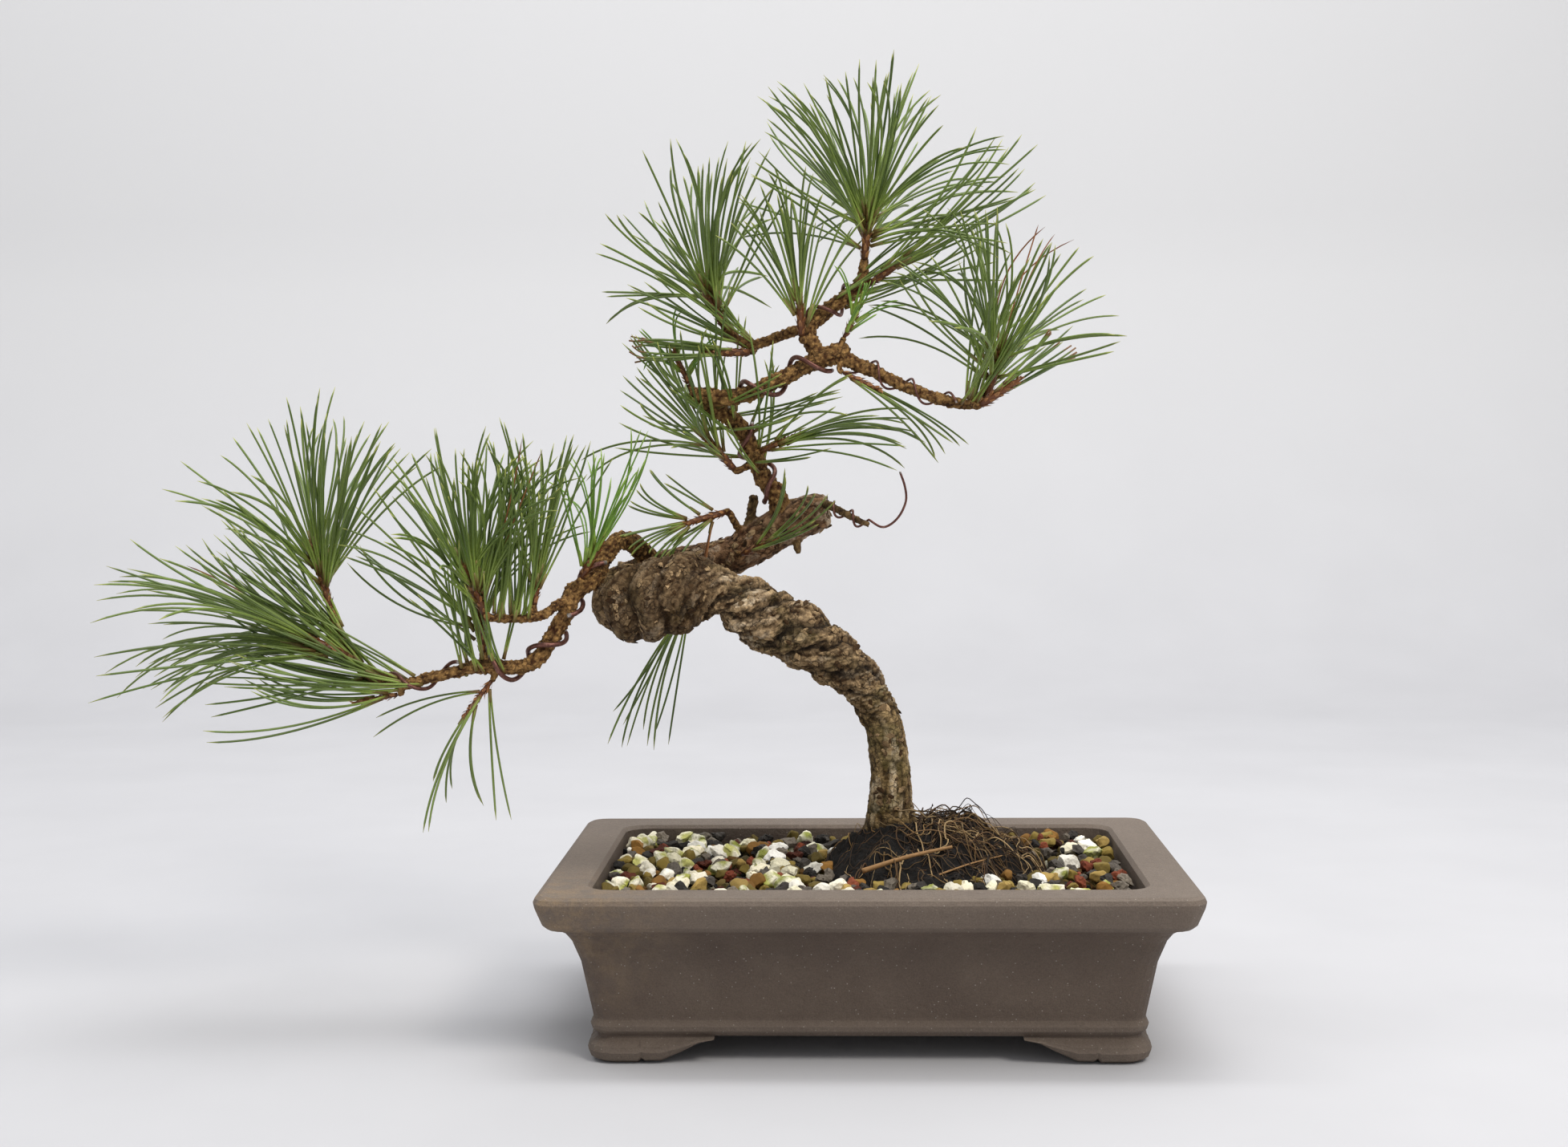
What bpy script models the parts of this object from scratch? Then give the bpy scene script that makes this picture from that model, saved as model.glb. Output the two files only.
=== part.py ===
"""A pine bonsai in a rectangular unglazed pot, as separate solid pieces.

The pot is filled with a growing mix, a bed of gravel and a mound of roots and moss. The tree is one
piece of wood that rises on the right, bends over to the left and turns back on itself behind its own
trunk. Training wires wind round its branches, and each living shoot carries a tuft of long needles.

Units are metres and +Z is up. The camera side of the pot is -Y. Run it with
blender --background --python part.py, or from Blender's text editor.
"""

import math
import random

import bmesh
import bpy
import numpy as np
from mathutils import Matrix, Vector
from mathutils.bvhtree import BVHTree

MM = 0.001

# ---------------------------------------------------------------- driving sizes
GAP = 0.3 * MM  # between two pieces that touch

POT_LENGTH = 254 * MM  # over the lip
POT_DEPTH = 178 * MM
POT_HEIGHT = 68 * MM
FOOT_HEIGHT = 10 * MM  # the ground to the pot's underside
FLOOR = 8 * MM
LIP_WIDTH = 20 * MM  # the flat top of the lip
LIP_HEIGHT = 13 * MM
WALL_SLOPE = 6.9 * MM  # how far the wall leans out from the band to the cove
LIP_OVERHANG = 12.8 * MM  # the lip past the wall under it
WALL = 7.5 * MM
CORNER = 8 * MM  # radius of the pot's outer corners, seen from above
HOLE_RADIUS = 10 * MM
HOLE_SPACING = 112 * MM  # between the two drainage holes
FOOT_LEG_X = 45 * MM  # a foot's leg along the long side
FOOT_LEG_Y = 32 * MM
FOOT_THICK = 13 * MM

BED_DROP = 9 * MM  # the gravel bed's top below the lip's top
BED_THICK = 5 * MM
PEBBLE = 8.5 * MM
PEBBLES = 16
SCREEN = 24 * MM
SCREEN_CELLS = 3  # openings along one side of a screen
SCREEN_THICK = 1.0 * MM
CLIP_WIRE = 1.2 * MM

MOUND_X = 46 * MM  # half-sizes of the root mound
MOUND_Y = 40 * MM
MOUND_HEIGHT = 27 * MM  # above the soil
MOUND_SHIFT_X = 0.26 * MOUND_X  # from the trunk to the middle of the mound's foot
MOUND_SHIFT_Y = -0.28 * MOUND_Y

TREE_X = 10 * MM  # the trunk's foot from the middle of the pot
TREE_Y = 8.5 * MM
TRUNK_GIRTH = 1.0  # multiplies the trunk's radii
ROLL_PITCH = 15 * MM  # along the trunk, from one roll of bark to the next
ROLL_DEPTH = 0.16  # of the trunk's radius
BRANCH_GIRTH = 1.0
THICK_WIRE = 2.0 * MM
MIDDLE_WIRE = 1.6 * MM
THIN_WIRE = 1.0 * MM
WIRE_CLEARANCE = 0.6 * MM  # from the bark to the wire's skin, more than GAP because both have flats
NEEDLE_WIDTH = 1.5 * MM  # of one pair of needles
NEEDLE_LENGTH = 1.0  # multiplies every needle's length

# ---------------------------------------------------------------- worked out from them
HALF_X = POT_LENGTH / 2
HALF_Y = POT_DEPTH / 2
INNER_X = HALF_X - LIP_WIDTH
INNER_Y = HALF_Y - LIP_WIDTH
FLOOR_TOP = FOOT_HEIGHT + FLOOR
BED_TOP = POT_HEIGHT - BED_DROP
SOIL_TOP = BED_TOP - BED_THICK - GAP


# ---------------------------------------------------------------- small tools
def clear_scene():
    """Removes whatever the startup scene holds."""
    for old in list(bpy.data.objects):
        bpy.data.objects.remove(old, do_unlink=True)


def finish(name, color, roughness, metallic=0.0):
    """A Principled material from a linear colour."""
    material = bpy.data.materials.get(name) or bpy.data.materials.new(name)
    material.use_nodes = True
    shader = material.node_tree.nodes["Principled BSDF"]
    shader.inputs["Base Color"].default_value = (*color, 1.0)
    shader.inputs["Roughness"].default_value = roughness
    shader.inputs["Metallic"].default_value = metallic
    material.diffuse_color = (*color, 1.0)
    return material


def object_from(bm, name, material=None, smooth=True, turn_out=True):
    """A scene object from a bmesh, its faces turned outwards unless they already are."""
    if turn_out:
        bmesh.ops.recalc_face_normals(bm, faces=bm.faces)
    mesh = bpy.data.meshes.new(name)
    bm.to_mesh(mesh)
    bm.free()
    if smooth:
        mesh.shade_smooth()
        mesh.set_sharp_from_angle(angle=math.radians(40))
    piece = bpy.data.objects.new(name, mesh)
    bpy.context.collection.objects.link(piece)
    if material:
        mesh.materials.append(material)
        piece.parent = ROOT
    return piece


def helper(bm, name):
    """A cutter, or a shape that is joined to another one."""
    piece = object_from(bm, name)
    piece.hide_render = True
    piece.display_type = "WIRE"
    piece.parent = ROOT
    return piece


def combine(piece, other, operation):
    """Joins a helper to a piece, or cuts it out of the piece."""
    change = piece.modifiers.new(operation.lower() + "_" + other.name, "BOOLEAN")
    change.operation = operation
    change.solver = "EXACT"
    change.object = other


def smooth_route(points, step):
    """Points about a step apart on a Catmull-Rom curve through the given rows of numbers."""
    rows = [np.array(p, float) for p in points]
    rows = [2 * rows[0] - rows[1]] + rows + [2 * rows[-1] - rows[-2]]
    route = []
    for a, b, c, d in zip(rows, rows[1:], rows[2:], rows[3:]):
        count = max(1, round(float(np.linalg.norm(c[:3] - b[:3])) / step))
        for i in range(count):
            t = i / count
            bend = (2 * a - 5 * b + 4 * c - d) * t**2 + (3 * b - a - 3 * c + d) * t**3
            route.append(0.5 * (2 * b + (c - a) * t + bend))
    route.append(rows[-2])
    return np.array(route)


def frames(route):
    """A tangent and two side vectors at each point, which turn as little as they can along the way."""
    points = [Vector(p[:3]) for p in route]
    tangents = []
    for i in range(len(points)):
        tangents.append((points[min(i + 1, len(points) - 1)] - points[max(i - 1, 0)]).normalized())
    side = Vector((0, -1, 0))
    if abs(side.dot(tangents[0])) > 0.9:
        side = Vector((1, 0, 0))
    result = []
    for point, tangent in zip(points, tangents):
        side = (side - tangent * side.dot(tangent)).normalized()
        result.append((point, tangent, side, tangent.cross(side)))
    return result


def tube(bm, route, sides, relief=None):
    """A closed tube round a route of (x, y, z, radius), with flat ends. relief(length, angle) scales it."""
    rings = []
    length = 0.0
    before = None
    for (point, _, side, up), row in zip(frames(route), route):
        length += (point - before).length if before is not None else 0.0
        before = point
        ring = []
        for i in range(sides):
            angle = 2 * math.pi * i / sides
            radius = float(row[3] * (relief(length, angle) if relief else 1.0))
            ring.append(bm.verts.new(point + radius * (math.cos(angle) * side + math.sin(angle) * up)))
        rings.append(ring)
    for lower, upper in zip(rings, rings[1:]):
        for i in range(sides):
            j = (i + 1) % sides
            bm.faces.new((lower[i], lower[j], upper[j], upper[i]))
    bm.faces.new(rings[0][::-1])
    bm.faces.new(rings[-1])


def rounded_rectangle(half_x, half_y, radius, z, steps=4):
    """The corners of a level rectangle with rounded corners, in order round it."""
    corners = []
    for quarter, (sx, sy) in enumerate(((1, 1), (-1, 1), (-1, -1), (1, -1))):
        centre = Vector((sx * (half_x - radius), sy * (half_y - radius), z))
        for i in range(steps + 1):
            angle = math.pi / 2 * (quarter + i / steps)
            corners.append(centre + radius * Vector((math.cos(angle), math.sin(angle), 0)))
    return corners


def loft(bm, loops):
    """Skins a row of equal loops and closes both ends."""
    rings = [[bm.verts.new(p) for p in loop] for loop in loops]
    count = len(rings[0])
    for lower, upper in zip(rings, rings[1:]):
        for i in range(count):
            j = (i + 1) % count
            bm.faces.new((lower[i], lower[j], upper[j], upper[i]))
    bm.faces.new(rings[0][::-1])
    bm.faces.new(rings[-1])


# ---------------------------------------------------------------- the pot
def wall_profile():
    """The pot's section from under its floor, up the outside, over the lip and down inside.

    Each row is (set-back from the lip's outer edge, height, corner radius)."""
    lip_under = POT_HEIGHT - LIP_HEIGHT
    wall_top = LIP_OVERHANG
    wall_foot = LIP_OVERHANG + WALL_SLOPE
    band = FOOT_HEIGHT + 4.4 * MM  # height of the band's widest line
    inner = LIP_WIDTH
    return [
        (wall_foot + 3.0 * MM, FOOT_HEIGHT, CORNER),
        (wall_foot + 1.5 * MM, FOOT_HEIGHT + 0.6 * MM, CORNER),
        (wall_foot - 0.2 * MM, band - 1.8 * MM, CORNER),
        (wall_foot - 0.7 * MM, band, CORNER),
        (wall_foot + 0.3 * MM, band + 2.4 * MM, CORNER),
        (wall_foot + 0.1 * MM, band + 3.8 * MM, CORNER),
        (wall_foot - 0.55 * WALL_SLOPE, band + 0.62 * (lip_under - band), CORNER),
        (wall_top, lip_under - 6.6 * MM, CORNER),
        (wall_top - 2.1 * MM, lip_under - 3.4 * MM, CORNER),
        (wall_top - 5.2 * MM, lip_under - 1.2 * MM, CORNER),
        (4.6 * MM, lip_under - 0.4 * MM, CORNER),
        (2.9 * MM, lip_under + 1.4 * MM, CORNER),
        (0.4 * MM, POT_HEIGHT - 4.6 * MM, CORNER),
        (0.0, POT_HEIGHT - 2.6 * MM, CORNER),
        (0.7 * MM, POT_HEIGHT - 0.9 * MM, CORNER),
        (2.6 * MM, POT_HEIGHT, CORNER - 1.5 * MM),
        (inner - 1.6 * MM, POT_HEIGHT - 0.2 * MM, 10 * MM),
        (inner, POT_HEIGHT - 1.6 * MM, 10 * MM),
        (inner + 0.4 * MM, lip_under, 10 * MM),
        (wall_foot + WALL - 0.7 * WALL_SLOPE, FLOOR_TOP + 0.4 * (lip_under - FLOOR_TOP), 10 * MM),
        (wall_foot + WALL, FLOOR_TOP + 2.5 * MM, 9 * MM),
        (wall_foot + WALL + 2.5 * MM, FLOOR_TOP, 8 * MM),
    ]


def inside_at(height):
    """The set-back of the pot's inner wall at a height, and its corner radius."""
    heights, backs, radii = zip(*sorted((z, back, radius) for back, z, radius in wall_profile()[-5:]))
    return float(np.interp(height, heights, backs)), float(np.interp(height, heights, radii))


def inside_loop(height, clearance):
    """A level outline just inside the pot's inner wall."""
    back, radius = inside_at(height)
    return rounded_rectangle(HALF_X - back - clearance, HALF_Y - back - clearance, radius - clearance, height)


def foot(bm, sx, sy):
    """A cloud foot: a section swept round the corner, whose underside follows a scroll."""
    edge_x = HALF_X - LIP_OVERHANG - WALL_SLOPE - 2.9 * MM
    edge_y = HALF_Y - LIP_OVERHANG - WALL_SLOPE - 2.9 * MM
    turn = 6 * MM
    centre = Vector((edge_x - turn, edge_y - turn, 0))
    back = FOOT_THICK - 4 * MM
    # How far along the leg, and how far the underside has risen there as a share of the foot's height.
    scroll = [
        (0.24, 0.0), (0.275, 0.13), (0.31, 0.04), (0.47, 0.05),
        (0.55, 0.2), (0.7, 0.46), (0.84, 0.78), (1.0, 0.97),
    ]
    stations = []
    for share, rise in reversed(scroll):
        along = Vector((-share * (FOOT_LEG_X - turn), turn, 0))
        stations.append((centre + along, Vector((0, 1, 0)), rise, back))
    for i in range(5):
        angle = math.pi / 2 * (1 - i / 4)
        outward = Vector((math.cos(angle), math.sin(angle), 0))
        stations.append((centre + turn * outward, outward, 0.0, turn - 0.8 * MM))
    for share, rise in scroll:
        along = Vector((turn, -share * (FOOT_LEG_Y - turn), 0))
        stations.append((centre + along, Vector((1, 0, 0)), rise, back))
    top = FOOT_HEIGHT + 0.5 * FLOOR
    rings = []
    for point, outward, rise, back in stations:
        under = rise * FOOT_HEIGHT
        tall = FOOT_HEIGHT - under
        section = [
            (0.2 * MM, top),
            (1.2 * MM, FOOT_HEIGHT - 0.04 * tall),
            (4.4 * MM, under + 0.66 * tall),
            (5.0 * MM, under + 0.44 * tall),
            (3.9 * MM, under + 0.16 * tall),
            (1.0 * MM, under),
            (-back, under),
            (-back, top),
        ]
        ring = []
        for out, z in section:
            place = point + outward * out
            ring.append(Vector((sx * place.x, sy * place.y, max(z, 0))))
        rings.append(ring)
    loft(bm, rings)


def make_pot(clay):
    """The bowl, its four feet and its two drainage holes, all one piece of clay."""
    bm = bmesh.new()
    loft(bm, [
        rounded_rectangle(HALF_X - back, HALF_Y - back, radius, z)
        for back, z, radius in wall_profile()
    ])
    pot = object_from(bm, "pot", clay)
    for sx in (-1, 1):
        for sy in (-1, 1):
            bm = bmesh.new()
            foot(bm, sx, sy)
            combine(pot, helper(bm, f"foot_shape_{sx}_{sy}"), "UNION")
    for side, sx in (("left", -1), ("right", 1)):
        bm = bmesh.new()
        bmesh.ops.create_cone(
            bm, cap_ends=True, segments=24, radius1=HOLE_RADIUS, radius2=HOLE_RADIUS, depth=4 * FLOOR,
            matrix=Matrix.Translation((sx * HOLE_SPACING / 2, 0, FLOOR_TOP)),
        )
        combine(pot, helper(bm, "drain_cutter_" + side), "DIFFERENCE")
    return pot


# ---------------------------------------------------------------- screens and their clips
def make_screen(name, x, plastic):
    """A square of moulded mesh: a grid of bars over the drainage hole."""
    bar = 2 * MM
    bm = bmesh.new()
    bmesh.ops.create_grid(bm, x_segments=SCREEN_CELLS, y_segments=SCREEN_CELLS, size=SCREEN / 2)
    openings = bmesh.ops.inset_individual(bm, faces=list(bm.faces), thickness=bar / 2)
    rims = set(openings["faces"])
    bmesh.ops.delete(bm, geom=[f for f in bm.faces if f not in rims], context="FACES_ONLY")
    bmesh.ops.solidify(bm, geom=list(bm.faces), thickness=SCREEN_THICK)
    low = min(v.co.z for v in bm.verts)
    bmesh.ops.translate(bm, verts=bm.verts, vec=(x, 0, FLOOR_TOP + GAP - low))
    return object_from(bm, name, plastic, smooth=False)


def make_clip(name, x, metal):
    """One bent wire: over the screen, down through its mesh and the hole, and out under the pot."""
    over = FLOOR_TOP + 2 * GAP + SCREEN_THICK + CLIP_WIRE / 2
    under = FOOT_HEIGHT - GAP - CLIP_WIRE / 2
    leg = SCREEN / SCREEN_CELLS
    bend = 1 * MM
    reach = HOLE_RADIUS + 5 * MM
    half = [
        (0, over), (leg - bend, over), (leg, over - bend),
        (leg, under + bend), (leg + bend, under), (reach, under),
    ]
    path = [(-a, z) for a, z in reversed(half[1:])] + half
    bm = bmesh.new()
    tube(bm, np.array([(x, a, z, CLIP_WIRE / 2) for a, z in path]), 6)
    return object_from(bm, name, metal)


# ---------------------------------------------------------------- the wood
# Every limb is a row of (x, y, height, radius) in millimetres. Heights are measured from the soil's top,
# and x and y from the middle of the pot when the trunk's foot stands at FOOT_IN_TABLES.
FOOT_IN_TABLES = (10.0, 8.5)


def wood(rows, girth, step):
    """A limb's route in metres, with the tree moved to stand where its foot is."""
    route = smooth_route(rows, step)
    route[:, 0] += TREE_X / MM - FOOT_IN_TABLES[0]
    route[:, 1] += TREE_Y / MM - FOOT_IN_TABLES[1]
    route[:, 2] += SOIL_TOP / MM
    route[:, 3] *= girth
    return route * MM


TRUNK = [
    (11, 9, -12, 9), (10.5, 8.8, 4, 12), (10, 8.5, 16, 12.5),
    (10, 8.5, 25, 11.2), (10, 8, 34.5, 9.3), (10, 8, 48, 8.4),
    (8.1, 7, 64.5, 8), (4.4, 6, 74, 8.6), (-1.8, 5, 85.5, 9.4), (-9.8, 4, 92.7, 10.6), (-19.4, 3, 100, 12),
    (-29.9, 2, 107.5, 12.8), (-40.5, 1, 112, 13), (-48.1, 0, 117, 12.5),
    (-57.3, 0, 122.5, 11), (-64.9, 0, 124.4, 12.5),
    (-73.2, 0, 124.5, 15), (-81.6, 0, 122, 16.2), (-90, 1.5, 119.5, 15.8), (-97.5, 7.5, 119, 14.8),
    (-101, 17, 120.5, 13.4), (-97.5, 27, 124.4, 11.5), (-89, 33, 128.8, 10),
    (-78, 35, 132, 9.2), (-68, 34.5, 134, 8.6),
    (-56, 33, 137.5, 8.4), (-44, 31, 144.3, 8.7), (-32, 29, 151.1, 9),
    (-22, 27, 155.2, 8.4), (-15.5, 26, 156.4, 6.6),
]
LOWER_BRANCH = [
    (-85, 34, 130, 5), (-90.3, 30, 134, 5), (-94, 26, 139, 4.8),
    (-100.5, 19, 144.6, 4.6), (-106, 12.5, 142.4, 4.4),
    (-110.5, 6.5, 135, 4.3), (-113, 3, 129, 4.2), (-116.5, 1, 126.3, 4.2),
    (-121.5, 0, 123.7, 4.2), (-123, -2, 117, 4.1),
    (-126.8, -4, 110, 4), (-131.6, -6, 102, 3.9), (-136.1, -8, 96.2, 3.7),
    (-141.9, -9, 94, 3.6), (-148.1, -10, 93.8, 3.6),
    (-155, -10.5, 94.7, 3.8), (-161, -11.5, 94, 3.2), (-168.4, -13, 92.2, 2.9), (-178.6, -15, 90.2, 2.7),
    (-188.3, -16, 87.7, 2.5), (-196.6, -16, 89.4, 2.4), (-205.3, -15, 92.6, 2.3), (-212.5, -13.5, 103, 2.1),
    (-217.5, -12, 113, 2),
]
LOWER_TWIG = [
    (-123, -2, 120.5, 2.6), (-127, -8, 119, 2.4), (-132.6, -12, 115.1, 2.3), (-143.4, -16, 114.4, 2.2),
    (-152, -19, 115, 2),
]
UPPER_BRANCH = [
    (-35, 29, 150, 5), (-36, 27, 157, 5), (-37.3, 25, 163.9, 4.8), (-42.4, 24, 169.7, 4.4),
    (-46.6, 22, 180.9, 4.2), (-52.5, 20, 192.1, 4.2), (-59.1, 18, 197.8, 4.3), (-66.3, 16, 201.9, 4.5),
    (-70, 13.5, 204.3, 4.5), (-66, 11, 205, 4.3), (-59.2, 10, 204, 4.1), (-47.4, 8, 205.8, 3.8),
    (-34.9, 6, 211.3, 3.8), (-25.3, 5, 215.8, 3.9), (-16.9, 4, 219.6, 4.4), (-10.6, 4, 221.8, 4.8),
    (-6, 3.4, 221, 3.8),
]
RIGHT_BRANCH = [
    (-11, 4, 221.5, 3.6), (-4.1, 2, 217.7, 3.4), (4.1, 0, 214, 3.1),
    (13.9, -3, 208.9, 2.9), (23.6, -6, 204.8, 2.8),
    (33.3, -8, 201.4, 2.7), (42, -9, 200, 2.4), (47.5, -10, 201.8, 2.1),
]
TOP_BRANCH = [
    (-17, 4.5, 220, 3.9), (-21, 6.5, 225, 3.8), (-22.5, 10, 232.5, 3.7), (-14.5, 12.5, 240.6, 3.7),
    (-5.6, 14, 246.2, 3.5), (-1, 13, 252, 2.8), (0.2, 12, 258.5, 2.3),
]
LEFT_TWIG = [
    (-22, 10, 232, 2.8), (-28, 12, 231.6, 2.6), (-35.7, 14, 229.2, 2.5), (-45.9, 15, 226, 2.4),
    (-53, 14, 228.4, 2.2), (-56.5, 13, 232, 2),
]
DEAD_SHOOT = [
    (-18, 24, 158, 2.6), (-15.5, 19, 159, 2.1), (-12, 15.5, 157.4, 1.9), (-4.5, 13, 153.4, 1.7),
    (2, 12, 150.6, 1.5),
]
DEAD_STUB = [(-52, 32, 140, 2.8), (-49, 30.5, 152, 2.6), (-47, 28.5, 163, 2.2)]
SPUR = [(-31, 28, 150, 2.8), (-29, 25.5, 143, 2.2), (-28, 24.5, 138, 1.3)]
ROOTS = [
    [(10, 2, 8, 6), (8, -10, 1, 4.6), (2, -22, -6, 3.2), (-4, -32, -14, 1.8)],
    [(14, 4, 8, 6), (30, -2, 0, 4.8), (46, -10, -7, 3.2), (58, -16, -15, 1.8)],
    [(14, 13, 8, 6), (26, 24, 0, 4.4), (36, 33, -8, 3), (40, 42, -15, 1.8)],
    [(5, 12, 8, 6), (-10, 18, 0, 4.6), (-26, 24, -7, 3.2), (-38, 28, -15, 1.8)],
]

# Each tuft: the point where its twig leaves the wood and the twig's tip (millimetres, as above), the
# twig's radius, the shoot's heading (angle from +X up towards +Z, and lean away from the camera side),
# the half-angle of its brush, the number of needle pairs, their shortest and longest length, how far the
# tips lift (or droop, if negative), and the bud's length and radius.
TUFTS = {
    "lower_tip": ((-217.5, -12, 113), (-219.3, -11.6, 118), 1.9, (106, 2), 58, 28, (64, 78), 0.1, (15, 2.6)),
    "lower_sweep": (
        (-209, -15, 97), (-211.8, -18.5, 99.5), 1.7, (154, -6),
        29, 19, (70, 96), -0.12, (12, 3.6),
    ),
    "lower_trail": ((-190, -16, 88), (-191.5, -16.6, 83.6), 1.4, (190, -6), 26, 5, (54, 80), 0.2, (5, 1.8)),
    "knot_left": ((-152, -19, 115), (-154.5, -20, 117), 1.9, (112, -8), 54, 24, (58, 70), 0.1, (8, 2.8)),
    "knot_upright": ((-157, -11, 95), (-158, -5.5, 99.6), 2.0, (100, 14), 58, 20, (62, 76), 0.1, (8, 2.8)),
    "knot_under": ((-153, -10.5, 94), (-153.6, -11.5, 88.4), 1.5, (232, -6), 62, 8, (42, 70), -0.2, (5, 2.0)),
    "twig_middle": (
        (-137, -13.8, 114.8), (-135.6, -10.8, 119.6), 1.6, (84, 12),
        38, 14, (58, 72), 0.1, (6, 2.4),
    ),
    "twig_green": (
        (-119.5, 0, 124.8), (-116.8, -4.6, 130.4), 1.8, (58, -12),
        42, 16, (42, 62), 0.1, (6, 2.6),
    ),
    "return_left": ((-47, 22.5, 177), (-55, 18.5, 174.6), 1.8, (132, -10), 62, 20, (48, 66), 0.1, (7, 2.8)),
    "return_right": ((-46, 22, 181), (-43.4, 15.6, 181.6), 1.6, (24, -14), 24, 9, (50, 66), -0.1, (5, 2.4)),
    "return_brush": ((-50, 33, 141), (-59.5, 24.5, 156), 1.8, (196, -16), 60, 12, (24, 36), 0.0, (7, 2.6)),
    "return_base": ((-53, 31, 139), (-52, 21.5, 138.4), 1.6, (22, -22), 34, 9, (40, 54), 0.15, (5, 2.4)),
    "crown_left": ((-56.5, 13, 232), (-58.4, 12.8, 234.4), 1.9, (119, 0), 64, 31, (58, 73), 0.12, (8, 3.0)),
    "crown_left_low": (
        (-45, 14.8, 226), (-47.6, 10.4, 222.8), 1.5, (181, -4),
        11, 9, (38, 43), 0.1, (6, 3.2),
    ),
    "apex": ((0.2, 12, 258.5), (0.5, 12, 261), 2.1, (85, 0), 69, 34, (63, 77), 0.06, (9, 3.0)),
    "apex_right": ((-2.5, 13.5, 249), (2.4, 9.8, 250.4), 1.6, (33, -6), 18, 8, (72, 82), 0.1, (6, 2.8)),
    "crown_front": ((-22, 7.5, 227), (-25.6, 2.2, 229), 1.8, (93, -8), 30, 15, (48, 66), 0.0, (6, 2.8)),
    "right_tip": ((47.5, -10, 201.8), (49.6, -10.4, 203.6), 1.8, (73, 0), 64, 30, (56, 74), 0.1, (9, 3.0)),
    "right_low": ((43, -9.3, 200), (46.8, -17.0, 199.6), 1.5, (33, -8), 15, 9, (34, 41), 0.1, (6, 3.2)),
    "fork_green": ((-9, 4, 223), (-8.2, 2.4, 228), 1.5, (62, -10), 40, 7, (14, 25), 0.0, (4, 1.8)),
    "fork_under": ((-9.5, 3.2, 219), (-8.6, -1.4, 213.6), 1.4, (-26, -6), 20, 5, (44, 54), 0.0, (4, 1.8)),
    "elbow": ((-70, 13.6, 205), (-73.4, 13, 210), 1.5, (112, 0), 56, 7, (14, 28), 0.0, (4, 1.8)),
    "trunk_back": ((-72, 35, 130), (-73, 38.4, 121.6), 1.5, (236, 0), 20, 5, (62, 72), -0.1, (4, 1.8)),
}
STEEPEST = math.radians(84)  # between a face of the bud and the needle drawn out of it
NEEDLE_TRIES = 40  # directions tried for a needle before its place is left empty
YOUNG_TUFTS = ("twig_green", "fork_green", "elbow")  # shoots of this year, still bright green


TWIG_NECK = 1.8  # the straight end of a twig, in line with its bud, so that the bud sits square on it


def ridges(length, angle):
    """The rolls that the bark made round an old wire: a groove that winds up the trunk."""
    start = 78 * MM
    end = 235 * MM
    fade_in = np.clip((length - start) / ROLL_PITCH, 0, 1)
    fade_out = np.clip((end - length) / (20 * MM), 0, 1)
    phase = 2 * math.pi * length / ROLL_PITCH + angle
    return 1 - ROLL_DEPTH * fade_in * fade_out * (1 - abs(math.sin(phase / 2)))


def wood_parts():
    """Every limb of the tree as (name, route, sides, relief)."""
    parts = [("trunk", wood(TRUNK, TRUNK_GIRTH, 6), 14, ridges)]
    limbs = {
        "lower_branch": (LOWER_BRANCH, 8), "lower_twig": (LOWER_TWIG, 7), "upper_branch": (UPPER_BRANCH, 9),
        "right_branch": (RIGHT_BRANCH, 8), "top_branch": (TOP_BRANCH, 8), "left_twig": (LEFT_TWIG, 7),
        "dead_shoot": (DEAD_SHOOT, 7), "dead_stub": (DEAD_STUB, 7), "spur": (SPUR, 6),
    }
    for name, (rows, sides) in limbs.items():
        parts.append((name, wood(rows, BRANCH_GIRTH, 8), sides, None))
    for i, rows in enumerate(ROOTS):
        parts.append((f"root_{i}", wood(rows, TRUNK_GIRTH, 12), 7, None))
    for name, (start, tip, radius, aim, *_) in TUFTS.items():
        neck = Vector(tip) - TWIG_NECK * heading(*aim)
        rows = [(*start, radius * 1.15), (*neck, radius), (*tip, radius)]
        parts.append(("twig_" + name, wood(rows, BRANCH_GIRTH, 50), 7, None))
    return parts


def make_tree(parts, bark):
    """Joins every limb to the trunk, as one piece of wood."""
    tree = None
    for name, route, sides, relief in parts:
        bm = bmesh.new()
        tube(bm, route, sides, relief)
        if tree is None:
            tree = object_from(bm, "tree", bark)
        else:
            combine(tree, helper(bm, name + "_shape"), "UNION")
    return tree


def socket(route, clearance):
    """The same route a little fatter and longer, for the hollow that a piece of wood sits in."""
    wide = route.copy()
    wide[:, 3] += clearance
    for end, beside in ((0, 1), (-1, -2)):
        along = wide[end, :3] - wide[beside, :3]
        wide[end, :3] += clearance * along / np.linalg.norm(along)
    return wide


def cut_sockets(piece, parts):
    """Hollows out of the mix or the mound what the trunk's foot and the roots fill."""
    for name, route, sides, _ in parts:
        if name == "trunk":
            route = route[route[:, 2] < BED_TOP + 3 * MOUND_HEIGHT]
        elif not name.startswith("root_"):
            continue
        bm = bmesh.new()
        tube(bm, socket(route, 1.5 * GAP), sides)
        combine(piece, helper(bm, f"{name}_socket_in_{piece.name}"), "DIFFERENCE")


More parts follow.
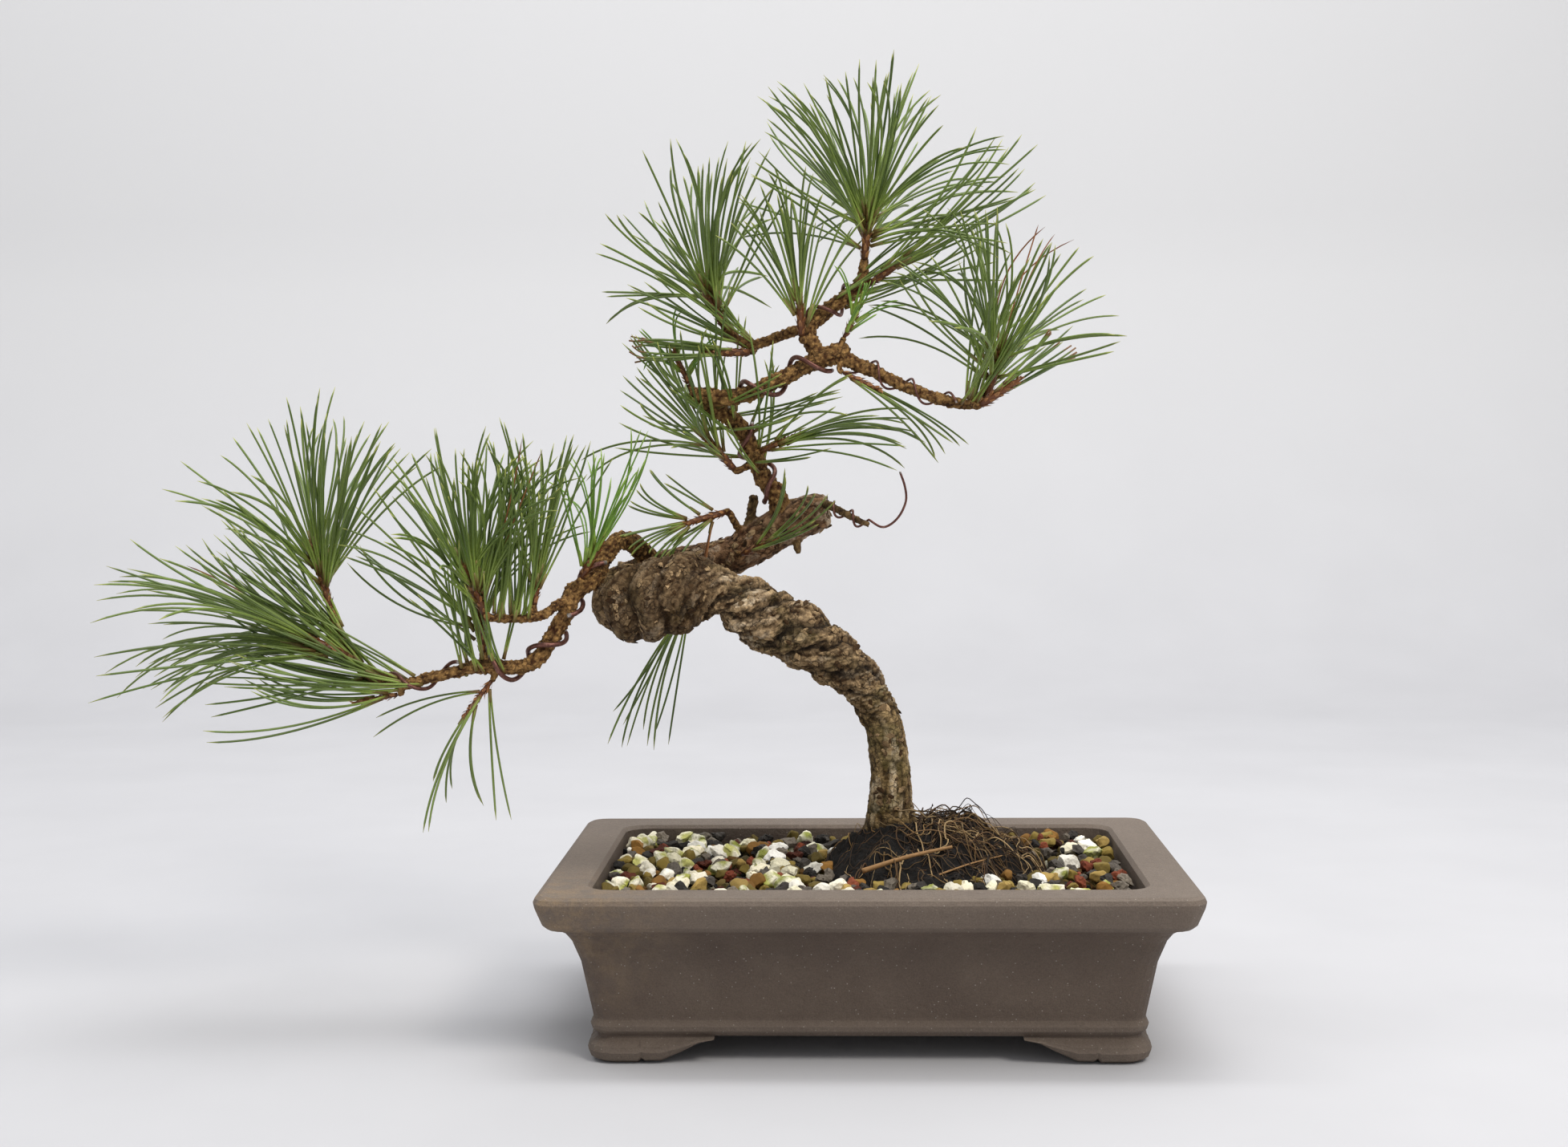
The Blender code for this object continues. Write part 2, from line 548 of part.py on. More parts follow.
# ---------------------------------------------------------------- what fills the pot
def make_soil(parts, mix):
    """The block of growing mix, hollowed for the screens, the trunk's foot and the roots."""
    bm = bmesh.new()
    heights = [FLOOR_TOP + GAP, FLOOR_TOP + 3 * MM, 0.5 * (FLOOR_TOP + SOIL_TOP), SOIL_TOP]
    loft(bm, [inside_loop(z, GAP * 2) for z in heights])
    soil = object_from(bm, "soil_mix", mix, smooth=False)
    recess = SCREEN_THICK + CLIP_WIRE + 4 * GAP
    for side, sx in (("left", -1), ("right", 1)):
        bm = bmesh.new()
        bmesh.ops.create_cube(bm, size=1.0)
        width = SCREEN + 4 * GAP
        bmesh.ops.scale(bm, vec=(width, width, 2 * recess), verts=bm.verts)
        bmesh.ops.translate(bm, vec=(sx * HOLE_SPACING / 2, 0, FLOOR_TOP), verts=bm.verts)
        combine(soil, helper(bm, "screen_recess_" + side), "DIFFERENCE")
    cut_sockets(soil, parts)
    return soil


def mound_outline(share, height, clearance):
    """One ring of the mound, at a share of its full width. A wider ring lies further right and forward."""
    ring = []
    for i in range(20):
        angle = 2 * math.pi * i / 20
        wobble = 1 + 0.07 * math.sin(3 * angle + 0.6) + 0.05 * math.sin(5 * angle + 2.1)
        x = TREE_X + MOUND_SHIFT_X * share + (MOUND_X * share * wobble + clearance) * math.cos(angle)
        y = TREE_Y + MOUND_SHIFT_Y * share + (MOUND_Y * share * wobble + clearance) * math.sin(angle)
        ring.append((x, y, height))
    return ring


def make_mound(parts, moss):
    """The hump of roots, moss and old peat round the trunk's foot."""
    bm = bmesh.new()
    loops = [mound_outline(1.0, SOIL_TOP + GAP, 0)]
    for share, rise in ((1.0, 0.34), (0.86, 0.56), (0.66, 0.74), (0.45, 0.9), (0.3, 1.0)):
        loops.append(mound_outline(share, SOIL_TOP + GAP + rise * MOUND_HEIGHT, 0))
    loft(bm, loops)
    mound = object_from(bm, "root_mound", moss, smooth=False)
    cut_sockets(mound, parts)
    return mound


def make_bed(grit):
    """The layer of gravel on the mix, with a hole for the mound."""
    bm = bmesh.new()
    loft(bm, [inside_loop(z, GAP * 2) for z in (SOIL_TOP + GAP, BED_TOP)])
    bed = object_from(bm, "gravel_bed", grit, smooth=False)
    bm = bmesh.new()
    loft(bm, [mound_outline(1.0, z, 2 * GAP) for z in (SOIL_TOP - 1 * MM, BED_TOP + 1 * MM)])
    combine(bed, helper(bm, "mound_cutter"), "DIFFERENCE")
    return bed


def make_pebbles(stones):
    """The largest loose stones, in a ring of places round the mound, clear of it and of each other."""
    rng = random.Random(8)
    _, corner = inside_at(BED_TOP)
    room_x = INNER_X - PEBBLE
    room_y = INNER_Y - PEBBLE
    placed = []
    tries = 4000
    while len(placed) < PEBBLES and tries > 0:
        tries -= 1
        x = rng.uniform(-room_x, room_x)
        y = rng.uniform(-room_y, room_y)
        size = PEBBLE * rng.uniform(0.85, 1.15)
        off_x = (x - TREE_X - MOUND_SHIFT_X) / (1.16 * MOUND_X + size)
        off_y = (y - TREE_Y - MOUND_SHIFT_Y) / (1.16 * MOUND_Y + size)
        in_corner = abs(x) > INNER_X - corner and abs(y) > INNER_Y - corner
        if off_x**2 + off_y**2 < 1 or in_corner:
            continue
        if any(math.hypot(x - a, y - b) < 1.56 * PEBBLE for a, b in placed):
            continue
        placed.append((x, y))
        bm = bmesh.new()
        bmesh.ops.create_icosphere(bm, subdivisions=2, radius=size / 2)
        for vertex in bm.verts:
            vertex.co *= 1 + rng.uniform(-0.12, 0.1)
        bmesh.ops.scale(bm, vec=(1.0, 0.85, 0.72), verts=bm.verts)
        bmesh.ops.rotate(bm, matrix=Matrix.Rotation(rng.uniform(0, math.pi), 3, "Z"), verts=bm.verts)
        low = min(v.co.z for v in bm.verts)
        bmesh.ops.translate(bm, vec=(x, y, BED_TOP + GAP - low), verts=bm.verts)
        number = len(placed)
        object_from(bm, f"pebble_{number:02d}", stones[number % len(stones)], smooth=False)


# ---------------------------------------------------------------- training wires
def segments_of(route):
    """A route as rows of (start, end, larger radius)."""
    return [(a[:3], b[:3], max(a[3], b[3])) for a, b in zip(route, route[1:])]


def gap_between(first, second):
    """The least distance between the skins of two sets of capsules."""
    p0, p1, pr = (np.array([s[i] for s in first]) for i in range(3))
    q0, q1, qr = (np.array([s[i] for s in second]) for i in range(3))
    u = (p1 - p0)[:, None, :]
    v = (q1 - q0)[None, :, :]
    w = p0[:, None, :] - q0[None, :, :]
    a = (u * u).sum(-1)
    b = (u * v).sum(-1)
    c = (v * v).sum(-1)
    d = (u * w).sum(-1)
    e = (v * w).sum(-1)
    flat = a * c - b * b
    s = np.where(flat > 1e-16, (b * e - c * d) / np.where(flat > 1e-16, flat, 1), 0.0)
    s = np.clip(s, 0, 1)
    t = np.clip((b * s + e) / np.maximum(c, 1e-16), 0, 1)
    s = np.clip((b * t - d) / np.maximum(a, 1e-16), 0, 1)
    apart = w + s[..., None] * u - t[..., None] * v
    return (np.sqrt((apart * apart).sum(-1)) - pr[:, None] - qr[None, :]).min()


def winding(route, start, end, pitch, radius, phase):
    """A wire's points round a limb, from one share of its length to another."""
    fine = []
    for a, b in zip(route, route[1:]):
        for i in range(8):
            fine.append(a + (b - a) * i / 8)
    fine.append(route[-1])
    fine = np.array(fine)
    steps = np.linalg.norm(np.diff(fine[:, :3], axis=0), axis=1)
    along = np.concatenate([[0], np.cumsum(steps)])
    parts = frames(fine)
    total = along[-1]
    count = max(4, round((end - start) * total / pitch * 10))
    points = []
    for i in range(count + 1):
        here = (start + (end - start) * i / count) * total
        k = min(int(np.searchsorted(along, here)), len(fine) - 1)
        point, _, side, up = parts[k]
        angle = phase + 2 * math.pi * (here - start * total) / pitch
        away = float(fine[k][3]) + radius + WIRE_CLEARANCE
        points.append((*(point + away * (math.cos(angle) * side + math.sin(angle) * up)), radius))
    return np.array(points)


# Each wire: the limb, the shares of its length between which it winds, the pitch and its diameter.
WIRES = {
    "wire_lower_branch": ("lower_branch", 0.24, 0.385, 28 * MM, THICK_WIRE),
    "wire_lower_knot": ("lower_branch", 0.41, 0.6, 24 * MM, THICK_WIRE),
    "wire_lower_end": ("lower_branch", 0.66, 0.86, 26 * MM, MIDDLE_WIRE),
    "wire_upper_branch": ("upper_branch", 0.1, 0.33, 22 * MM, THICK_WIRE),
    "wire_crown": ("upper_branch", 0.6, 0.93, 24 * MM, THICK_WIRE),
    "wire_right_branch": ("right_branch", 0.12, 0.84, 17 * MM, THIN_WIRE),
    "wire_top_branch": ("top_branch", 0.3, 0.8, 18 * MM, MIDDLE_WIRE),
    "wire_shoot": ("dead_shoot", 0.35, 0.95, 9 * MM, THIN_WIRE),
}
TURNS_TRIED = 24  # turns round the limb at which a wire may start


def make_wires(parts, metal):
    """Winds each wire at the turn that keeps it clearest of the other wood and wires."""
    routes = {name: route for name, route, _, _ in parts}
    taken = []
    for name, (limb, start, end, pitch, size) in WIRES.items():
        others = list(taken)
        for other, route in routes.items():
            if other != limb:
                others += segments_of(route)
        best = None
        for turn in range(TURNS_TRIED):
            phase = 2 * math.pi * turn / TURNS_TRIED
            points = winding(routes[limb], start, end, pitch, size / 2, phase)
            if name == "wire_shoot":
                points = np.vstack([points, shoot_tail(points[-1])])
            room = gap_between(segments_of(points), others)
            if best is None or room > best[0]:
                best = (room, points)
        bm = bmesh.new()
        tube(bm, best[1], 6)
        object_from(bm, name, metal)
        taken += segments_of(best[1])
    return taken


def shoot_tail(last):
    """The wire's free end past the dead shoot: out, round in a loop and up."""
    steps = [(5, -1, -3), (9, -1.5, -2), (13, -1.8, 2), (15.5, -2, 8), (15, -2.5, 14), (13, -3, 20)]
    rows = [last[:3] / MM] + [last[:3] / MM + np.array(step) for step in steps]
    route = smooth_route([(*row, last[3] / MM) for row in rows], 3)
    return route[1:] * MM


# ---------------------------------------------------------------- needles
def heading(angle, lean):
    """A direction from its angle in the X-Z plane and its lean along +Y, in degrees."""
    flat = math.cos(math.radians(lean))
    return Vector((
        flat * math.cos(math.radians(angle)),
        math.sin(math.radians(lean)),
        flat * math.sin(math.radians(angle)),
    ))


def needle_points(root, direction, length, lift):
    """The middle and tip of a needle that bends a little upwards, or droops."""
    up = Vector((0, 0, 1))
    middle = root + 0.5 * length * (direction - 0.12 * lift * up).normalized()
    tip = root + length * (direction + 0.5 * lift * up).normalized()
    return middle, tip


def needle_capsules(root, middle, end, width, share):
    """A needle as two capsules, without the first share of its lower half."""
    foot_end = root + share * (middle - root)
    return [
        (np.array(foot_end), np.array(middle), width),
        (np.array(middle), np.array(end), 0.8 * width),
    ]


def tree_of(triangles):
    """A search tree of triangles, in millimetres because it misses crossings of very small ones.

    Each is drawn in a little, so that a shared edge doesn't count as a crossing."""
    points = []
    for corners in triangles:
        middle = sum(corners, Vector()) / 3
        points += [(middle + 0.99 * (corner - middle)) / MM for corner in corners]
    return BVHTree.FromPolygons(points, [(i, i + 1, i + 2) for i in range(0, len(points), 3)])


def crosses(triangles, others):
    """Whether a needle's skin passes through itself or through any triangle of the others."""
    tree = tree_of(triangles)
    return any(a < b for a, b in tree.overlap(tree)) or bool(tree.overlap(others))


def needle_triangles(root_ring, middle_ring, point):
    """A needle's skin: six triangles up to its middle, then three to its point."""
    found = []
    for i in range(3):
        j = (i + 1) % 3
        found.append((root_ring[i], root_ring[j], middle_ring[j]))
        found.append((root_ring[i], middle_ring[j], middle_ring[i]))
        found.append((middle_ring[i], middle_ring[j], point))
    return found


def corners_round(centre, direction, start, radius):
    """Three even corners round a needle's middle, turned to face the three corners that it grows from."""
    first = (start[0] - centre).cross(direction).normalized()
    second = direction.cross(first)
    angles = []
    for corner in start:
        spoke = corner - centre
        angles.append(math.atan2(spoke.dot(second), spoke.dot(first)))
    turn = 1 if math.sin(angles[1] - angles[0]) > 0 else -1
    offsets = [angle - turn * 2 * math.pi * i / 3 for i, angle in enumerate(angles)]
    offset = math.atan2(sum(map(math.sin, offsets)), sum(map(math.cos, offsets)))
    found = []
    for i in range(3):
        angle = offset + turn * 2 * math.pi * i / 3
        found.append(centre + radius * (math.cos(angle) * first + math.sin(angle) * second))
    return found


def make_tuft(name, tip, aim, spread, count, lengths, lift, bud, wood_taken, needles_taken, material):
    """A bud whose faces are drawn out into needles, each clear of the wood, the wires and the others."""
    rng = random.Random(name)
    axis = heading(*aim)
    bud_length, bud_radius = (size * MM for size in bud)
    width = NEEDLE_WIDTH / 2
    bm = bmesh.new()
    # A small tuft needs few faces to draw its needles from.
    bmesh.ops.create_icosphere(bm, subdivisions=2 if count > 9 else 1, radius=1.0)
    faces = list(bm.faces)
    normals = [face.normal.copy() for face in faces]
    turn = axis.to_track_quat("Z", "X").to_matrix()
    centre = tip + axis * (GAP + bud_length / 2)
    for vertex in bm.verts:
        ball = vertex.co.copy()
        stretched = Vector((ball.x * bud_radius, ball.y * bud_radius, ball.z * bud_length / 2))
        vertex.co = centre + turn @ stretched
    widest = math.radians(125)  # past this angle from the axis a face looks back at the twig
    order = [i for i, normal in enumerate(normals) if normal.angle(Vector((0, 0, 1))) < widest]
    rng.shuffle(order)
    skin = {i: [tuple(v.co.copy() for v in face.verts)] for i, face in enumerate(faces)}
    own = []
    whole = []
    drawn_out = []
    for index in order:
        if len(drawn_out) == count:
            break
        face = faces[index]
        corners = [v.co.copy() for v in face.verts]
        root = sum(corners, Vector()) / 3
        away = normals[index].angle(Vector((0, 0, 1))) / widest
        around = turn @ Vector((normals[index].x, normals[index].y, 0)).normalized()
        others = tree_of([triangle for i, patch in skin.items() if i != index for triangle in patch])
        for _ in range(NEEDLE_TRIES):
            polar = math.radians(spread) * min(1.0, max(0.03, away + rng.uniform(-0.08, 0.08)))
            direction = (math.cos(polar) * axis + math.sin(polar) * around).normalized()
            length = rng.uniform(*lengths) * MM * NEEDLE_LENGTH
            if direction.angle(turn @ normals[index]) > STEEPEST:
                continue
            middle, end = needle_points(root, direction, length, lift)
            # Needles of one tuft meet at their roots, so they are compared only further out.
            outer = needle_capsules(root, middle, end, width, 0.12)
            far = needle_capsules(root, middle, end, width, 0.3)
            ring = corners_round(middle, (end - root).normalized(), corners, width)
            triangles = needle_triangles(corners, ring, end)
            if own and gap_between(far, own) < 0.1 * MM:
                continue
            if crosses(triangles, others):
                continue
            if gap_between(outer, wood_taken + needles_taken) > GAP:
                break
        else:
            continue
        skin[index] = triangles
        new_ring = [bm.verts.new(p) for p in ring]
        for patch in needle_triangles(list(face.verts), new_ring, bm.verts.new(end)):
            bm.faces.new(patch)
        drawn_out.append(face)
        own += far
        whole += outer
    bmesh.ops.delete(bm, geom=drawn_out, context="FACES_ONLY")
    bud_ends = (np.array(tip + axis * bud_radius), np.array(tip + axis * (bud_length - bud_radius)))
    needles_taken += whole + [(*bud_ends, bud_radius)]
    object_from(bm, "needles_" + name, material, smooth=False, turn_out=False)


def place(point):
    """A point of the tree in metres, from millimetres above the soil."""
    moved = wood([(*point, 1), (*point, 1)], 1, 1e9)[0]
    return Vector(moved[:3])


def make_tufts(parts, wires_taken, materials):
    """Every tuft in turn, each kept clear of the wood, the wires and the tufts before it."""
    taken = list(wires_taken)
    for _, route, _, _ in parts:
        taken += segments_of(route)
    needles_taken = []
    for name, (_, tip, _, aim, spread, count, lengths, lift, bud) in TUFTS.items():
        material = materials[1] if name in YOUNG_TUFTS else materials[0]
        make_tuft(name, place(tip), aim, spread, count, lengths, lift, bud, taken, needles_taken, material)


# ---------------------------------------------------------------- put together
def centre_on_ground():
    """Moves everything so that the middle of the whole object's box stands over the origin."""
    bpy.context.view_layer.update()
    corners = []
    for piece in bpy.context.collection.objects:
        if piece.type == "MESH" and not piece.hide_render:
            corners += [v.co for v in piece.data.vertices]
    low = [min(c[i] for c in corners) for i in range(3)]
    high = [max(c[i] for c in corners) for i in range(3)]
    ROOT.location = (-(low[0] + high[0]) / 2, -(low[1] + high[1]) / 2, 0)


clear_scene()
ROOT = bpy.data.objects.new("bonsai", None)
bpy.context.collection.objects.link(ROOT)

clay = finish("unglazed_clay", (0.118, 0.098, 0.085), 0.8)
bark = finish("pine_bark", (0.16, 0.11, 0.07), 0.9)
green = finish("pine_needle", (0.07, 0.16, 0.04), 0.45)
young_green = finish("young_needle", (0.2, 0.4, 0.06), 0.45)
copper = finish("training_wire", (0.14, 0.065, 0.05), 0.4, 0.9)
moss = finish("root_mat", (0.03, 0.02, 0.014), 0.95)
mix = finish("growing_mix", (0.09, 0.06, 0.035), 0.95)
grit = finish("gravel", (0.22, 0.17, 0.1), 0.9)
pumice = finish("pumice", (0.72, 0.69, 0.58), 0.9)
lava = finish("lava", (0.05, 0.04, 0.04), 0.9)
plastic = finish("screen_plastic", (0.03, 0.03, 0.03), 0.5)
steel = finish("clip_wire", (0.5, 0.5, 0.5), 0.35, 1.0)

limbs = wood_parts()
make_pot(clay)
for side, sx in (("left", -1), ("right", 1)):
    make_screen("drainage_screen_" + side, sx * HOLE_SPACING / 2, plastic)
    make_clip("screen_clip_" + side, sx * HOLE_SPACING / 2, steel)
make_soil(limbs, mix)
make_bed(grit)
make_mound(limbs, moss)
make_pebbles([pumice, lava, grit])
make_tree(limbs, bark)
wires = make_wires(limbs, copper)
make_tufts(limbs, wires, (green, young_green))
centre_on_ground()
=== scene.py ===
"""The looks of the pine bonsai in its stoneware pot.

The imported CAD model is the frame. The pot, the drainage screens, their clips and the growing mix keep
their CAD shape and get a finish here. The wood, the needles, the wires, the gravel and the root mound
are built finer, each on the place that its CAD node holds.

Lengths are metres unless a name or a comment says millimetres.
"""

import math
import random

import bmesh
import bpy
import numpy as np
from mathutils import Matrix, Vector, noise


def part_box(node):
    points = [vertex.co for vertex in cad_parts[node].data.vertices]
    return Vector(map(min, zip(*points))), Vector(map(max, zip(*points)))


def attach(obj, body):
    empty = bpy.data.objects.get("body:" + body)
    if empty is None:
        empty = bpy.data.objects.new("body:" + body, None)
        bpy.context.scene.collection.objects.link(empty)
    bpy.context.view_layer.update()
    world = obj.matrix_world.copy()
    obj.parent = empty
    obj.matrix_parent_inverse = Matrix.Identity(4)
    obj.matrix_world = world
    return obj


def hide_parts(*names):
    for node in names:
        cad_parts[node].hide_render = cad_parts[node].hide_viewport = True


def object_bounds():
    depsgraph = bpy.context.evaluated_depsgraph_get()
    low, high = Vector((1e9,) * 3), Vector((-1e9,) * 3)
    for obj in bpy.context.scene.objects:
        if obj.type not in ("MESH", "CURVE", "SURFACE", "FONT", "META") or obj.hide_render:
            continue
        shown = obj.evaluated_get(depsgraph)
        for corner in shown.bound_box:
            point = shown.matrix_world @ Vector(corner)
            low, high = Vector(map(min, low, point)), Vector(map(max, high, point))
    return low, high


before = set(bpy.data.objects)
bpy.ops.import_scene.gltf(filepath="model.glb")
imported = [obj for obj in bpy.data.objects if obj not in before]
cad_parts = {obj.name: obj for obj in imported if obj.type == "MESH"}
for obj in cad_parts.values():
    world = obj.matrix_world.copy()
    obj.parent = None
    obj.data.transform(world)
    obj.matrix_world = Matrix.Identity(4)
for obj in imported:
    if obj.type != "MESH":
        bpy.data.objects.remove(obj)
CAD_LOW, CAD_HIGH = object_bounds()

MM = 0.001

# ---------------------------------------------------------------- places, from the frame
POT_LOW, POT_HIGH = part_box("pot")
POT_X = (POT_LOW.x + POT_HIGH.x) / 2
POT_Y = (POT_LOW.y + POT_HIGH.y) / 2
SOIL_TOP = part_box("soil_mix")[1].z
ORIGIN = np.array([POT_X, POT_Y, SOIL_TOP])  # of the routes below
BED_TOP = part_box("gravel_bed")[1].z
BED_LOW, BED_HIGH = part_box("gravel_bed")
MOUND_LOW, MOUND_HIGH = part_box("root_mound")

# ---------------------------------------------------------------- sizes, in millimetres
WOOD_VOXEL = 0.75  # the grain of the wood's surface mesh
TRUNK_STEP = 1.4  # between the rings of the trunk's core
LIMB_STEP = 1.6
NEEDLE_WIDTH = 1.32
NEEDLE_THICK = 0.95
SHOOT_LENGTH = 13.0
SHEATH_LENGTH = 4.0
SHEATH_RADIUS = 0.85
STONE_SPACING = 6.0
STONE_SIZE = 8.0
FLAKE_THICK = 0.35

# ---------------------------------------------------------------- counts and shares
EXTRA_PAIRS = 0.4  # the share of the pairs that gets a second, wilder one beside it
THIN_TUFT = 15  # a tuft of no more pairs than this gets no extra ones
FLAKES = 700
FLAKE_CORNERS = 7
FIBRES = 460
GOLDEN_TURN = 2.39996  # radians from one bud scale, or one pair on a limb, to the next
TRUNK_CORE = 0.985  # the share of the radius that is left once the bark stands out from it
LIMB_CORE = 0.93
NEEDLE_RINGS = 14
NEEDLE_SIDES = 6
WIRE_SIDES = 14
FIBRE_SIDES = 5
ROW_PITCH = 0.87  # of the stones' spacing, from one row to the next


def srgb(code):
    """An sRGB hex colour as linear red, green, blue and alpha."""
    channels = [int(code[i : i + 2], 16) / 255 for i in (1, 3, 5)]
    return (*[c / 12.92 if c <= 0.04045 else ((c + 0.055) / 1.055) ** 2.4 for c in channels], 1.0)


def mix(first, second, share):
    """Colours between two, one row for each share."""
    share = np.clip(np.asarray(share, float), 0, 1)[..., None]
    return np.asarray(first) * (1 - share) + np.asarray(second) * share


def ramp(values, start, end):
    """0 at start, 1 at end, and a smooth rise between them."""
    t = np.clip((np.asarray(values, float) - start) / (end - start), 0, 1)
    return t * t * (3 - 2 * t)


# ---------------------------------------------------------------- shapes
def smooth_route(points, step):
    """Points about a step apart on a Catmull-Rom curve through the given rows of numbers."""
    rows = [np.array(p, float) for p in points]
    rows = [2 * rows[0] - rows[1]] + rows + [2 * rows[-1] - rows[-2]]
    route = []
    for a, b, c, d in zip(rows, rows[1:], rows[2:], rows[3:]):
        count = max(1, round(float(np.linalg.norm(c[:3] - b[:3])) / step))
        for i in range(count):
            t = i / count
            bend = (2 * a - 5 * b + 4 * c - d) * t**2 + (3 * b - a - 3 * c + d) * t**3
            route.append(0.5 * (2 * b + (c - a) * t + bend))
    route.append(rows[-2])
    return np.array(route)


def unit(rows):
    """Directions of length one."""
    return rows / np.maximum(np.linalg.norm(rows, axis=-1, keepdims=True), 1e-12)


def frames(points):
    """A tangent and two side directions at each point, which turn as little as they can along the way."""
    ahead = np.vstack([points[1:], points[-1:]])
    behind = np.vstack([points[:1], points[:-1]])
    tangents = unit(ahead - behind)
    side = np.array([0.0, -1.0, 0.0])
    if abs(side @ tangents[0]) > 0.9:
        side = np.array([1.0, 0.0, 0.0])
    sides = []
    for tangent in tangents:
        side = unit(side - tangent * (side @ tangent))
        sides.append(side)
    sides = np.array(sides)
    return tangents, sides, np.cross(tangents, sides)


def any_way(rng):
    """A random direction, of any length."""
    return np.array([rng.gauss(0, 1) for _ in range(3)])


def lengths_along(points):
    """How far each point of a line is along it."""
    return np.concatenate([[0], np.cumsum(np.linalg.norm(np.diff(points, axis=0), axis=1))])


def paint(mesh, colors):
    """Gives each point of a mesh its colour, which the materials read as tint."""
    tint = mesh.color_attributes.new("tint", "FLOAT_COLOR", "POINT")
    tint.data.foreach_set("color", colors.astype(np.float32).ravel())


class Shape:
    """Points, faces and one colour per point, gathered piece by piece into one mesh."""

    def __init__(self):
        self.points = []
        self.faces = []
        self.colors = []
        self.count = 0

    def put(self, points, faces, colors):
        points = np.asarray(points, float).reshape(-1, 3)
        self.points.append(points)
        self.faces += [tuple(int(i) + self.count for i in face) for face in faces]
        self.colors.append(np.broadcast_to(np.asarray(colors, float), (len(points), 4)))
        self.count += len(points)

    def tube(self, points, radii, sides, colors, flat=1.0, turn=0.0):
        """A tube closed at both ends. flat below 1 presses it thinner one way."""
        _, first, second = frames(points)
        angles = turn + 2 * math.pi * np.arange(sides) / sides
        ring = (
            np.cos(angles)[None, :, None] * first[:, None, :]
            + flat * np.sin(angles)[None, :, None] * second[:, None, :]
        )
        skin = points[:, None, :] + np.asarray(radii, float).reshape(-1, 1, 1) * ring
        rows = len(points)
        faces = []
        for k in range(rows - 1):
            for i in range(sides):
                j = (i + 1) % sides
                faces.append((k * sides + i, k * sides + j, (k + 1) * sides + j, (k + 1) * sides + i))
        last = rows * sides
        for i in range(sides):
            j = (i + 1) % sides
            faces.append((j, i, last))
            faces.append(((rows - 1) * sides + i, (rows - 1) * sides + j, last + 1))
        tones = np.broadcast_to(np.asarray(colors, float), (rows, 4))
        tones = np.vstack([np.repeat(tones, sides, axis=0), tones[:1], tones[-1:]])
        self.put(np.vstack([skin.reshape(-1, 3), points[:1], points[-1:]]), faces, tones)

    def piece(self, name, material, slot, smooth=True, nodes=()):
        """The gathered mesh as a piece that rides on the tree and pot, in place of the given CAD nodes."""
        mesh = bpy.data.meshes.new(name)
        mesh.from_pydata(np.vstack(self.points).tolist(), [], self.faces)
        paint(mesh, np.vstack(self.colors))
        return placed(bpy.data.objects.new(name, mesh), material, smooth, nodes)


def placed(piece, material, smooth=True, nodes=()):
    """Puts a piece in the scene with its material, riding the root, in place of the given CAD nodes."""
    if smooth:
        piece.data.shade_smooth()
    bpy.context.scene.collection.objects.link(piece)
    piece.data.materials.clear()
    piece.data.materials.append(material)
    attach(piece, "root")
    if nodes:
        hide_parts(*nodes)
    return piece


def noise_at(points, size, seed=0):
    """Smooth noise from about -1 to 1. size is the distance between its bumps, in the points' own unit."""
    offset = Vector((seed * 17.3, seed * -9.1, seed * 5.7))
    return np.array([noise.noise(Vector(p) / size + offset) for p in points])


def cells_at(points, size, seed=0):
    """Cells about a size across: how near each point is to its cell's border, and a number per cell."""
    offset = Vector((seed * 11.9, seed * 3.3, seed * -7.7))
    border = []
    number = []
    for p in points:
        distances, centres = noise.voronoi(Vector(p) / size + offset)
        border.append(distances[1] - distances[0])
        number.append(noise.cell(centres[0] * 7.31) % 1.0)
    return np.array(border), np.array(number)


# ---------------------------------------------------------------- materials
def add(material, kind, links=None, stops=None, **settings):
    """One node of a material, with its settings, what goes into its sockets, and the stops of a ramp.
    A node given for a socket stands for its first output."""
    node = material.node_tree.nodes.new("ShaderNode" + kind)
    for key, value in settings.items():
        setattr(node, key, value)
    for key, value in (links or {}).items():
        if isinstance(value, bpy.types.Node):
            value = value.outputs[0]
        if isinstance(value, bpy.types.NodeSocket):
            material.node_tree.links.new(value, node.inputs[key])
        else:
            node.inputs[key].default_value = value
    if stops:
        elements = node.color_ramp.elements
        elements[0].position, elements[0].color = stops[0]
        elements[1].position, elements[1].color = stops[-1]
        for position, color in stops[1:-1]:
            elements.new(position).color = color
    return node


def blank(name):
    """A material with only its output node, and the object's own axes in millimetres."""
    material = bpy.data.materials.new(name)
    material.use_nodes = True
    material.node_tree.nodes.clear()
    place = add(material, "TexCoord")
    scale = add(material, "VectorMath", {0: place.outputs["Object"], 1: (1000, 1000, 1000)},
                operation="MULTIPLY")
    return material, scale


def finish(material, color, roughness, relief=None, depth=0.2, **shader):
    """The surface shader. relief is a height from 0 to 1 and depth is its size in millimetres."""
    sockets = {"Base Color": color, "Roughness": roughness}
    sockets.update({key.replace("_", " "): value for key, value in shader.items()})
    if relief is not None:
        bump = add(material, "Bump", {"Strength": 1.0, "Distance": depth * MM, "Height": relief})
        sockets["Normal"] = bump
    surface = add(material, "BsdfPrincipled", sockets)
    add(material, "OutputMaterial", {"Surface": surface})
    return material


